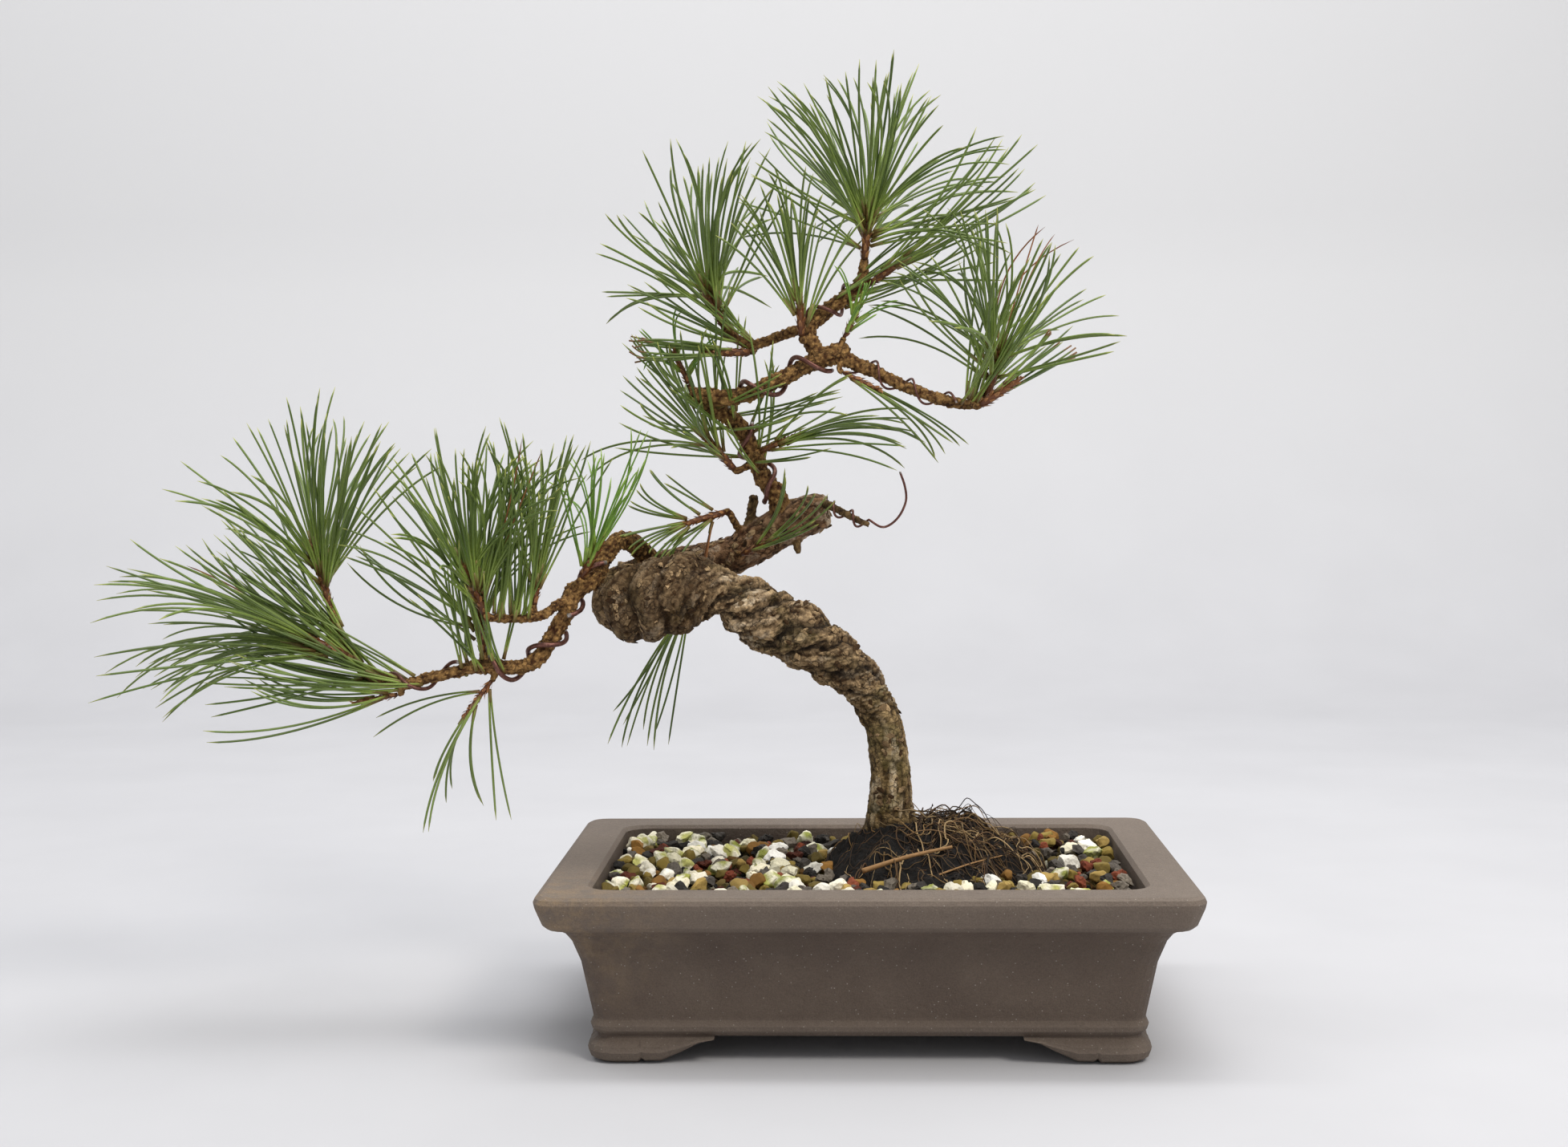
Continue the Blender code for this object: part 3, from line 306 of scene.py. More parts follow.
def unglazed_clay():
    """Brown-grey stoneware, fired without glaze: matt and finely grained, paler in patches where it faces
    up, partly dust and partly painted top light, with a painted highlight along its edges, and a tan mineral
    stain creeping down from one corner of the rim."""
    m, at = blank("unglazed_brown_stoneware")
    cloud = add(m, "TexNoise", {"Vector": at, "Scale": 1 / 34, "Detail": 5.0, "Roughness": 0.62})
    body = add(m, "ValToRGB", {0: cloud}, [
        (0.3, srgb("#55473d")), (0.5, srgb("#5c4e43")), (0.72, srgb("#65574b"))])
    wear = add(m, "TexNoise", {"Vector": at, "Scale": 1 / 5, "Detail": 6.0, "Roughness": 0.7})
    shape = add(m, "NewGeometry")
    facing = add(m, "SeparateXYZ", {0: shape.outputs["Normal"]})
    # Paler in patches where the clay faces up: partly dust, partly painted top light.
    upward = add(m, "MapRange", {"Value": facing.outputs[2], "From Min": 0.6, "From Max": 0.98})
    dust_and_top_light_patches = add(m, "MapRange", {"Value": wear, "From Min": 0.3, "From Max": 0.62, "To Min": 0.25,
                                "To Max": 0.7})
    dust_and_top_light_share = add(m, "Math", {0: upward, 1: dust_and_top_light_patches}, operation="MULTIPLY")
    dust = add(m, "Mix", {0: dust_and_top_light_share, 6: body, 7: srgb("#786c61")}, data_type="RGBA")
    # A painted highlight: paler where the clay stands proud along an edge.
    painted_edge_highlight = add(m, "MapRange", {"Value": shape.outputs["Pointiness"], "From Min": 0.5, "From Max": 0.56})
    painted_edge_highlight_share = add(m, "Math", {0: painted_edge_highlight, 1: 0.35}, operation="MULTIPLY")
    with_painted_edge_highlight = add(m, "Mix", {0: painted_edge_highlight_share, 6: dust.outputs[2], 7: srgb("#8b7e71")}, data_type="RGBA")
    # The stain: strongest at the front left corner of the rim, thinning with distance.
    here = add(m, "TexCoord")
    corner = (POT_LOW.x + 2 * MM, POT_LOW.y + 6 * MM, POT_HIGH.z - 3 * MM)
    from_corner = add(m, "VectorMath", {0: here.outputs["Object"], 1: corner}, operation="DISTANCE")
    near = add(m, "MapRange", {"Value": from_corner.outputs["Value"], "From Min": 0.006, "From Max": 0.062,
                                         "To Min": 0.6, "To Max": 0.0})
    patch = add(m, "TexNoise", {"Vector": at, "Scale": 1 / 9, "Detail": 7.0, "Roughness": 0.72})
    patched = add(m, "MapRange", {"Value": patch, "From Min": 0.42, "From Max": 0.62})
    stain_share = add(m, "Math", {0: near, 1: patched}, operation="MULTIPLY")
    stain = add(m, "Mix", {0: stain_share, 6: with_painted_edge_highlight.outputs[2], 7: srgb("#937b5c")}, data_type="RGBA")
    # Sparse pale specks in the clay.
    specks = add(m, "TexVoronoi", {"Vector": at, "Scale": 1 / 2.6})
    speck = add(m, "MapRange", {"Value": specks.outputs["Distance"], "From Min": 0.05, "From Max": 0.12,
                                          "To Min": 0.55, "To Max": 0.0})
    spotted = add(m, "Mix", {0: speck, 6: stain.outputs[2], 7: srgb("#b3aaa0")}, data_type="RGBA")
    grain = add(m, "TexNoise", {"Vector": at, "Scale": 1.6, "Detail": 4.0, "Roughness": 0.65})
    tone = add(m, "MapRange", {"Value": grain, "From Min": 0.3, "From Max": 0.7, "To Min": 0.8,
                               "To Max": 1.16})
    color = add(m, "VectorMath", {0: spotted.outputs[2], "Scale": tone}, operation="SCALE")
    drag = add(m, "TexNoise", {"Vector": at, "Scale": 1 / 2.2, "Detail": 8.0, "Roughness": 0.72})
    matt = add(m, "MapRange", {"Value": wear, "To Min": 0.62, "To Max": 0.86})
    return finish(m, color, matt, drag, 0.75)


def tinted(name, share, size, depth, roughness, lumps=1.0, **shader):
    """A surface that takes its colour from the mesh's own tint, broken up by a fine pattern.
    share is how much the pattern changes the colour, size and depth its size in millimetres."""
    m, at = blank(name)
    tint = add(m, "VertexColor", layer_name="tint")
    fine = add(m, "TexNoise", {"Vector": at, "Scale": 1 / size, "Detail": 6.0, "Roughness": 0.68})
    tone = add(m, "MapRange", {"Value": fine, "From Min": 0.28, "From Max": 0.72,
                                         "To Min": 1 - share, "To Max": 1 + share})
    color = add(m, "VectorMath", {0: tint, "Scale": tone}, operation="SCALE")
    spread = add(m, "MapRange", {"Value": fine, "To Min": roughness - 0.1, "To Max": roughness + 0.1})
    cells = add(m, "TexVoronoi", {"Vector": at, "Scale": 1 / (1.7 * size), "Randomness": 1.0})
    height = add(m, "Mix", {0: 0.35 * lumps, 2: fine, 3: cells.outputs["Distance"]}, data_type="FLOAT")
    return finish(m, color, spread, height, depth, **shader)


def pine_bark():
    """Dry bark in thin ragged flakes with dark edges, partly the bark's own dark and partly painted shade,
    over the tan and brown of the mesh's own tint.
    """
    m, at = blank("flaky_pine_bark")
    tint = add(m, "VertexColor", layer_name="tint")
    fine = add(m, "TexNoise", {"Vector": at, "Scale": 1 / 0.8, "Detail": 7.0, "Roughness": 0.72})
    tone = add(m, "MapRange", {"Value": fine, "From Min": 0.3, "From Max": 0.7, "To Min": 0.55,
                               "To Max": 1.45})
    shaded = add(m, "VectorMath", {0: tint, "Scale": tone}, operation="SCALE")
    # Flakes about 2.4 mm across with ragged outlines. Their dark edges, where the bump sinks them, are the
    # bark's own dark deepened by painted shade, and fade in and out.
    ragged = add(m, "TexNoise", {"Vector": at, "Scale": 1 / 1.4, "Detail": 4.0, "Roughness": 0.7})
    shift = add(m, "VectorMath", {0: ragged.outputs["Color"], "Scale": 1.5}, operation="SCALE")
    moved = add(m, "VectorMath", {0: at, 1: shift}, operation="ADD")
    cells = add(m, "TexVoronoi", {"Vector": moved, "Scale": 1 / 2.4}, feature="DISTANCE_TO_EDGE")
    rim = add(m, "MapRange", {"Value": cells.outputs["Distance"], "From Min": 0.01, "From Max": 0.09,
                                        "To Min": 1.0, "To Max": 0.0})
    broad = add(m, "TexNoise", {"Vector": at, "Scale": 1 / 7, "Detail": 3.0})
    where = add(m, "MapRange", {"Value": broad, "From Min": 0.42, "From Max": 0.6, "To Max": 0.8})
    dark = add(m, "Math", {0: rim, 1: where}, operation="MULTIPLY")
    color = add(m, "Mix", {0: dark, 6: shaded, 7: srgb("#1a0f06")}, data_type="RGBA")
    plates = add(m, "MapRange", {"Value": cells.outputs["Distance"], "From Max": 0.16})
    height = add(m, "Mix", {0: 0.5, 2: fine, 3: plates}, data_type="FLOAT")
    spread = add(m, "MapRange", {"Value": fine, "To Min": 0.76, "To Max": 0.95})
    return finish(m, color.outputs[2], spread, height, 0.55, Specular_IOR_Level=0.3)


def pine_needle(name):
    """The waxy skin of a needle: a soft sheen on an uneven green."""
    m, at = blank(name)
    tint = add(m, "VertexColor", layer_name="tint")
    fine = add(m, "TexNoise", {"Vector": at, "Scale": 1 / 1.1, "Detail": 3.0, "Roughness": 0.6})
    broad = add(m, "TexNoise", {"Vector": at, "Scale": 1 / 14, "Detail": 2.0})
    tone = add(m, "MapRange", {"Value": fine, "From Min": 0.3, "From Max": 0.7, "To Min": 0.86,
                               "To Max": 1.12})
    wide = add(m, "MapRange", {"Value": broad, "From Min": 0.3, "From Max": 0.7, "To Min": 0.88,
                               "To Max": 1.12})
    both = add(m, "Math", {0: tone, 1: wide}, operation="MULTIPLY")
    color = add(m, "VectorMath", {0: tint, "Scale": both}, operation="SCALE")
    sheen = add(m, "MapRange", {"Value": fine, "To Min": 0.36, "To Max": 0.52})
    return finish(m, color, sheen, fine, 0.08, Specular_IOR_Level=0.45)


def stone(name):
    """Broken stone: pumice and lava are coarsely pitted, baked clay is chalky and nearly smooth."""
    sizes = {"clay_granule": (0.16, 1.0, 0.16), "dark_lava": (0.4, 0.8, 0.5), "red_lava": (0.34, 0.8, 0.5),
             "pumice": (0.13, 0.8, 0.4), "algae_pumice": (0.26, 0.9, 0.4)}
    share, size, depth = sizes[name]
    return tinted(name + "_stone", share, size, depth, 0.85, 2.0, Specular_IOR_Level=0.3)


def crumbs(name, size, stops, depth):
    """Loose crumbs about a size across, each of its own colour."""
    m, at = blank(name)
    cells = add(m, "TexVoronoi", {"Vector": at, "Scale": 1 / size})
    color = add(m, "ValToRGB", {0: cells.outputs["Color"]}, [(place, srgb(code)) for place, code in stops])
    return finish(m, color, 0.9, cells.outputs["Distance"], depth)


def mottled(name, size, detail, roughness, stops, matt, depth, **shader):
    """A surface mottled through the stops of a ramp. matt is its roughness, as one figure or from and to."""
    m, at = blank(name)
    fine = add(m, "TexNoise", {"Vector": at, "Scale": 1 / size, "Detail": detail, "Roughness": roughness})
    color = add(m, "ValToRGB", {0: fine}, [(place, srgb(code)) for place, code in stops])
    if isinstance(matt, tuple):
        matt = add(m, "MapRange", {"Value": fine, "To Min": matt[0], "To Max": matt[1]})
    return finish(m, color, matt, fine, depth, **shader)


def gap_grit_painted_shade():
    """Grit between the stones, painted nearly black as the shade deep in the gaps."""
    return crumbs("grit_painted_as_gap_shade", 1.6, [(0.1, "#15100c"), (0.5, "#2b2119"), (0.9, "#4a3a2a")], 0.9)


def growing_mix():
    """The gritty mix under the gravel."""
    stops = [(0.1, "#2a1f16"), (0.45, "#5a4632"), (0.7, "#8a7350"), (0.95, "#b8ad98")]
    return crumbs("gritty_growing_mix", 2.6, stops, 1.2)


def peat():
    """Dark crumbly root mat: old soil with a few dry crumbs."""
    stops = [(0.38, "#040201"), (0.54, "#0e0804"), (0.66, "#23170b"), (0.78, "#4c3920")]
    return mottled("dark_root_mat", 1.5, 8.0, 0.8, stops, 0.93, 1.4)


def screen_plastic():
    """Black plastic mesh with dust caught on it."""
    return mottled("black_plastic_mesh", 2, 5.0, 0.7, [(0.35, "#161616"), (0.75, "#4d4741")], (0.35, 0.6),
                   0.08)


def clip_wire():
    """Plain steel wire, dull with a little rust."""
    stops = [(0.5, "#8b8a88"), (0.68, "#7a4a30")]
    return mottled("dull_steel_wire", 3, 6.0, 0.75, stops, (0.32, 0.8), 0.06, Metallic=0.75)


def root_bark():
    """Thin dry roots, tan to brown."""
    return tinted("dry_fine_root", 0.3, 1.2, 0.15, 0.8)


def anodised_wire():
    """Bonsai wire: soft aluminium anodised copper brown, rubbed paler in places, bright at its cut ends."""
    m, at = blank("brown_anodised_wire")
    cut = add(m, "VertexColor", layer_name="tint")
    rub = add(m, "TexNoise", {"Vector": at, "Scale": 1 / 1.8, "Detail": 5.0, "Roughness": 0.7})
    body = add(m, "ValToRGB", {0: rub}, [
        (0.35, srgb("#5a3a34")), (0.55, srgb("#7b544a")), (0.75, srgb("#a37f70"))])
    color = add(m, "Mix", {0: cut, 6: body, 7: srgb("#c9c4bf")}, data_type="RGBA")
    spread = add(m, "MapRange", {"Value": rub, "To Min": 0.3, "To Max": 0.56})
    return finish(m, color.outputs[2], spread, rub, 0.05, Metallic=0.8)


def paper():
    """A white paper sweep, very slightly uneven, and greyer where it lies on the floor."""
    m, at = blank("white_paper")
    fibre_marks = add(m, "TexNoise", {"Vector": at, "Scale": 1 / 120, "Detail": 3.0})
    floor = add(m, "ValToRGB", {0: fibre_marks}, [(0.2, srgb("#bfbfc2")), (0.8, srgb("#c5c5c8"))])
    height = add(m, "SeparateXYZ", {0: at})
    risen = add(m, "MapRange", {"Value": height.outputs[2], "From Min": 20, "From Max": 420})
    color = add(m, "Mix", {0: risen, 6: floor, 7: srgb("#d3d3d4")}, data_type="RGBA")
    return finish(m, color.outputs[2], 0.95, Specular_IOR_Level=0.1)


def dress(node, material):
    """A CAD node keeps its shape and gets a finer finish."""
    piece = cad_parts[node]
    for slot in piece.material_slots:
        slot.link = "OBJECT"
        slot.material = material


# ---------------------------------------------------------------- the wood's routes
# Each row is (x, y, height, radius) in millimetres: x and y from the middle of the pot, and the height from
# the top of the growing mix.
TRUNK = [
    (11, 9, -12, 9), (10.5, 8.8, 4, 12), (10, 8.5, 16, 12.5), (10, 8.5, 25, 11.2), (10, 8, 34.5, 9.3),
    (10, 8, 48, 8.4),
    (8.1, 7, 64.5, 8), (4.4, 6, 74, 8.6), (-1.8, 5, 85.5, 9.4), (-9.8, 4, 92.7, 10.6), (-19.4, 3, 100, 12),
    (-29.9, 2, 107.5, 12.8), (-40.5, 1, 112, 13), (-48.1, 0, 117, 12.5), (-57.3, 0, 122.5, 11),
    (-64.9, 0, 124.4, 12.5),
    (-73.2, 0, 124.5, 15), (-81.6, 0, 122, 16.2), (-90, 1.5, 119.5, 15.8), (-97.5, 7.5, 119, 14.8),
    (-101, 17, 120.5, 13.4), (-97.5, 27, 124.4, 11.5), (-89, 33, 128.8, 10), (-78, 35, 132, 9.2),
    (-68, 34.5, 134, 8.6),
    (-56, 33, 137.5, 8.4), (-44, 31, 144.3, 8.7), (-32, 29, 151.1, 9), (-22, 27, 155.2, 8.4),
    (-15.5, 26, 156.4, 6.6),
]
LOWER_BRANCH = [
    (-85, 34, 130, 5), (-90.3, 30, 134, 5), (-94, 26, 139, 4.8), (-100.5, 19, 144.6, 4.6),
    (-106, 12.5, 142.4, 4.4),
    (-110.5, 6.5, 135, 4.3), (-113, 3, 129, 4.2), (-116.5, 1, 126.3, 4.2), (-121.5, 0, 123.7, 4.2),
    (-123, -2, 117, 4.1),
    (-126.8, -4, 110, 4), (-131.6, -6, 102, 3.9), (-136.1, -8, 96.2, 3.7), (-141.9, -9, 94, 3.6),
    (-148.1, -10, 93.8, 3.6),
    (-155, -10.5, 94.7, 3.8), (-161, -11.5, 94, 3.2), (-168.4, -13, 92.2, 2.9), (-178.6, -15, 90.2, 2.7),
    (-188.3, -16, 87.7, 2.5), (-196.6, -16, 89.4, 2.4), (-205.3, -15, 92.6, 2.3), (-212.5, -13.5, 103, 2.1),
    (-217.5, -12, 113, 2),
]
LOWER_TWIG = [
    (-123, -2, 120.5, 2.6), (-127, -8, 119, 2.4), (-132.6, -12, 115.1, 2.3), (-143.4, -16, 114.4, 2.2),
    (-152, -19, 115, 2),
]
UPPER_BRANCH = [
    (-35, 29, 150, 5), (-36, 27, 157, 5), (-37.3, 25, 163.9, 4.8), (-42.4, 24, 169.7, 4.4),
    (-46.6, 22, 180.9, 4.2), (-52.5, 20, 192.1, 4.2), (-59.1, 18, 197.8, 4.3), (-66.3, 16, 201.9, 4.5),
    (-70, 13.5, 204.3, 4.5), (-66, 11, 205, 4.3), (-59.2, 10, 204, 4.1), (-47.4, 8, 205.8, 3.8),
    (-34.9, 6, 211.3, 3.8), (-25.3, 5, 215.8, 3.9), (-16.9, 4, 219.6, 4.4), (-10.6, 4, 221.8, 4.8),
    (-6, 3.4, 221, 3.8),
]
RIGHT_BRANCH = [
    (-11, 4, 221.5, 3.6), (-4.1, 2, 217.7, 3.4), (4.1, 0, 214, 3.1), (13.9, -3, 208.9, 2.9),
    (23.6, -6, 204.8, 2.8),
    (33.3, -8, 201.4, 2.7), (42, -9, 200, 2.4), (47.5, -10, 201.8, 2.1),
]
TOP_BRANCH = [
    (-17, 4.5, 220, 3.9), (-21, 6.5, 225, 3.8), (-22.5, 10, 232.5, 3.7), (-14.5, 12.5, 240.6, 3.7),
    (-5.6, 14, 246.2, 3.5), (-1, 13, 252, 2.8), (0.2, 12, 258.5, 2.3),
]
LEFT_TWIG = [
    (-22, 10, 232, 2.8), (-28, 12, 231.6, 2.6), (-35.7, 14, 229.2, 2.5), (-45.9, 15, 226, 2.4),
    (-53, 14, 228.4, 2.2), (-56.5, 13, 232, 2),
]
DEAD_SHOOT = [
    (-18, 24, 158, 2.6), (-15.5, 19, 159, 2.1), (-12, 15.5, 157.4, 1.9), (-4.5, 13, 153.4, 1.7),
    (2, 12, 150.6, 1.5),
]
DEAD_STUB = [(-52, 32, 140, 2.8), (-49, 30.5, 152, 2.6), (-47, 28.5, 163, 2.2)]
SPUR = [(-31, 28, 150, 2.8), (-29, 25.5, 143, 2.2), (-28, 24.5, 138, 1.3)]
ROOTS = [
    [(10, 2, 8, 6), (8, -10, 1, 4.6), (2, -22, -6, 3.2), (-4, -32, -14, 1.8)],
    [(14, 4, 8, 6), (30, -2, 0, 4.8), (46, -10, -7, 3.2), (58, -16, -15, 1.8)],
    [(14, 13, 8, 6), (26, 24, 0, 4.4), (36, 33, -8, 3), (40, 42, -15, 1.8)],
    [(5, 12, 8, 6), (-10, 18, 0, 4.6), (-26, 24, -7, 3.2), (-38, 28, -15, 1.8)],
]

# The short side twig that carries each tuft of needles: where it leaves the wood, its tip, its radius,
# and its heading: the angle from +X up towards +Z, and the lean away from the front, in degrees.
TWIGS = {
    "lower_tip": ((-217.5, -12, 113), (-219.3, -11.6, 118), 1.9, (106, 2)),
    "lower_sweep": ((-209, -15, 97), (-211.8, -18.5, 99.5), 1.7, (154, -6)),
    "lower_trail": ((-190, -16, 88), (-191.5, -16.6, 83.6), 1.4, (190, -6)),
    "knot_left": ((-152, -19, 115), (-154.5, -20, 117), 1.9, (112, -8)),
    "knot_upright": ((-157, -11, 95), (-158, -5.5, 99.6), 2.0, (100, 14)),
    "knot_under": ((-153, -10.5, 94), (-153.6, -11.5, 88.4), 1.5, (232, -6)),
    "twig_middle": ((-137, -13.8, 114.8), (-135.6, -10.8, 119.6), 1.6, (84, 12)),
    "twig_green": ((-119.5, 0, 124.8), (-116.8, -4.6, 130.4), 1.8, (58, -12)),
    "return_left": ((-47, 22.5, 177), (-55, 18.5, 174.6), 1.8, (132, -10)),
    "return_right": ((-46, 22, 181), (-43.4, 15.6, 181.6), 1.6, (24, -14)),
    "return_brush": ((-50, 33, 141), (-59.5, 24.5, 156), 1.8, (196, -16)),
    "return_base": ((-53, 31, 139), (-52, 21.5, 138.4), 1.6, (22, -22)),
    "crown_left": ((-56.5, 13, 232), (-58.4, 12.8, 234.4), 1.9, (119, 0)),
    "crown_left_low": ((-45, 14.8, 226), (-47.6, 10.4, 222.8), 1.5, (181, -4)),
    "apex": ((0.2, 12, 258.5), (0.5, 12, 261), 2.1, (85, 0)),
    "apex_right": ((-2.5, 13.5, 249), (2.4, 9.8, 250.4), 1.6, (33, -6)),
    "crown_front": ((-22, 7.5, 227), (-25.6, 2.2, 229), 1.8, (93, -8)),
    "right_tip": ((47.5, -10, 201.8), (49.6, -10.4, 203.6), 1.8, (73, 0)),
    "right_low": ((43, -9.3, 200), (46.8, -17.0, 199.6), 1.5, (33, -8)),
    "fork_green": ((-9, 4, 223), (-8.2, 2.4, 228), 1.5, (62, -10)),
    "fork_under": ((-9.5, 3.2, 219), (-8.6, -1.4, 213.6), 1.4, (-26, -6)),
    "elbow": ((-70, 13.6, 205), (-73.4, 13, 210), 1.5, (112, 0)),
    "trunk_back": ((-72, 35, 130), (-73, 38.4, 121.6), 1.5, (236, 0)),
}
YOUNG_TUFTS = ("twig_green", "fork_green", "elbow")


# The rolls of bark wind round the trunk in strands. Each row is (length along the trunk in millimetres,
# strands round it, distance in millimetres from one roll to the next, depth as a share of the radius).
ROLLS = [
    (0, 4, 16, 0.0), (84, 4, 16, 0.02), (98, 4, 15, 0.2), (160, 4, 15, 0.25), (172, 3, 13, 0.22),
    (182, 2, 12, 0.08),
    (196, 1, 10, 0.12), (203, 1, 9, 0.34), (226, 1, 10, 0.3), (238, 2, 13, 0.08), (262, 2, 15, 0.05),
    (340, 2, 15, 0.03),
]
# The neck where the trunk is pinched, and the swelling beside it: (length, half-width, share of the radius).
SWELLS = [(168, 5.5, -0.17), (186, 11, 0.08), (212, 4.5, 0.05), (128, 8, 0.03)]


def wood_route(rows, step):
    """A limb's centre line and radii in metres, in the frame's own axes."""
    route = smooth_route(rows, step) * MM
    return route[:, :3] + ORIGIN, route[:, 3]


def heading(angle, lean):
    """A direction from its angle, +X up towards +Z, and its lean away from the front."""
    flat = math.cos(math.radians(lean))
    return np.array([
        flat * math.cos(math.radians(angle)),
        math.sin(math.radians(lean)),
        flat * math.sin(math.radians(angle)),
    ])


def limbs():
    """Every limb as (kind, centre line, radii)."""
    found = [("trunk", *wood_route(TRUNK, TRUNK_STEP))]
    for rows in (LOWER_BRANCH, LOWER_TWIG, UPPER_BRANCH, RIGHT_BRANCH, TOP_BRANCH, LEFT_TWIG):
        found.append(("branch", *wood_route(rows, LIMB_STEP)))
    for rows in (DEAD_SHOOT, DEAD_STUB, SPUR):
        found.append(("dead", *wood_route(rows, LIMB_STEP)))
    for rows in ROOTS:
        found.append(("root", *wood_route(rows, LIMB_STEP)))
    for start, tip, radius, aim in TWIGS.values():
        neck = np.array(tip) - 1.8 * heading(*aim)
        rows = [(*start, radius * 1.15), (*neck, radius), (*tip, radius)]
        found.append(("branch", *wood_route(rows, LIMB_STEP)))
    return found


def roll_shape(lengths, angles):
    """How far the rolls and swellings of the bark stand out, as a share of the radius, and how deep in a
    groove each point lies, from 0 to 1."""
    at, strands, spacing, depth = np.array(ROLLS, float).T
    fine = np.arange(0, 400, 0.5)
    turns = np.cumsum(0.5 / np.interp(fine, at, spacing))
    lengths = lengths / MM
    wobble = 0.12 * np.sin(lengths / 5.1 + 2 * angles) + 0.1 * np.sin(lengths / 8.3 - 3 * angles + 1.0)
    phase = np.interp(lengths, fine, turns) + wobble
    winding = np.round(np.interp(lengths, at, strands)) * angles / (2 * math.pi)
    groove = (1 - np.abs(np.sin(math.pi * (phase + winding)))) ** 1.6
    strength = np.interp(lengths, at, depth)
    swell = np.zeros(len(lengths))
    for middle, half, share in SWELLS:
        swell += share * np.exp(-(((lengths - middle) / half) ** 2))
    return swell + 0.25 * strength - strength * groove * 1.35, groove * np.minimum(strength / 0.12, 1)


def limb_tube(bm, points, radii, sides, relief):
    """A closed tube round a limb, with flat ends."""
    _, first, second = frames(points)
    angles = 2 * math.pi * np.arange(sides) / sides
    lengths = lengths_along(points)
    rings = []
    for k in range(len(points)):
        out = np.ones(sides)
        if relief:
            out += roll_shape(np.full(sides, lengths[k]), angles)[0]
        ring = points[k] + radii[k] * out[:, None] * (
            np.cos(angles)[:, None] * first[k] + np.sin(angles)[:, None] * second[k]
        )
        rings.append([bm.verts.new(p) for p in ring])
    for lower, upper in zip(rings, rings[1:]):
        for i in range(sides):
            j = (i + 1) % sides
            bm.faces.new((lower[i], lower[j], upper[j], upper[i]))
    bm.faces.new(rings[0][::-1])
    bm.faces.new(rings[-1])


def one_skin(bm, voxel):
    """The shapes in a bmesh joined into one skin of even small faces."""
    mesh = bpy.data.meshes.new("joined")
    bm.to_mesh(mesh)
    bm.free()
    holder = bpy.data.objects.new("joined", mesh)
    bpy.context.scene.collection.objects.link(holder)
    remesh = holder.modifiers.new("one skin", "REMESH")
    remesh.mode = "VOXEL"
    remesh.voxel_size = voxel
    even = holder.modifiers.new("soften", "SMOOTH")
    even.factor = 0.5
    even.iterations = 1
    graph = bpy.context.evaluated_depsgraph_get()
    result = bpy.data.meshes.new_from_object(holder.evaluated_get(graph))
    bpy.data.objects.remove(holder)
    bpy.data.meshes.remove(mesh)
    return result


def mesh_rows(mesh, field):
    """A mesh's places ("co") or directions ("normal"), one row for each of its points."""
    rows = np.empty(len(mesh.vertices) * 3, np.float32)
    mesh.vertices.foreach_get(field, rows)
    return rows.reshape(-1, 3).astype(float)


def place_on_limbs(points, wood):
    """For each point of the skin: its limb, and its length, angle and radius there."""
    centres = np.vstack([line for _, line, _ in wood])
    radii = np.concatenate([r for _, _, r in wood])
    owner = np.concatenate([np.full(len(line), i) for i, (_, line, _) in enumerate(wood)])
    lengths = np.concatenate([lengths_along(line) for _, line, _ in wood])
    sides = [frames(line) for _, line, _ in wood]
    first = np.vstack([s[1] for s in sides])
    second = np.vstack([s[2] for s in sides])
    tangent = np.vstack([s[0] for s in sides])
    nearest = []
    for begin in range(0, len(points), 3000):
        chunk = points[begin : begin + 3000].astype(np.float32)
        away = np.linalg.norm(chunk[:, None, :] - centres.astype(np.float32)[None], axis=2)
        nearest.append(np.argmin(away / radii.astype(np.float32), axis=1))
    nearest = np.concatenate(nearest)
    offset = points - centres[nearest]
    along = (offset * tangent[nearest]).sum(1)
    angle = np.arctan2((offset * second[nearest]).sum(1), (offset * first[nearest]).sum(1))
    return owner[nearest], lengths[nearest] + along, angle, radii[nearest]


# What the bark shows, by where it grows. The rolls are the trunk's twisted middle.
BARK = {name: srgb(code) for name, code in {
    "trunk_light": "#bfa170",
    "trunk_dark": "#4b3716",
    "roll_light": "#dab88a",
    "roll_dark": "#3f280e",
    "return_light": "#b8906a",
    "return_dark": "#5a3a22",
    "branch_light": "#c0955a",
    "branch_dark": "#43230c",
    "dead_light": "#94784f",
    "dead_dark": "#33200f",
    # crack is the darkest bark, and is also painted as shade in the grooves, the cracks and under the
    # flakes.
    "crack": "#140a03",
    "flake": "#e2d4bd",
    "cut": "#cdb79a",
    "lichen": "#6f6a3e",
    "soil": "#1c140e",
}.items()}


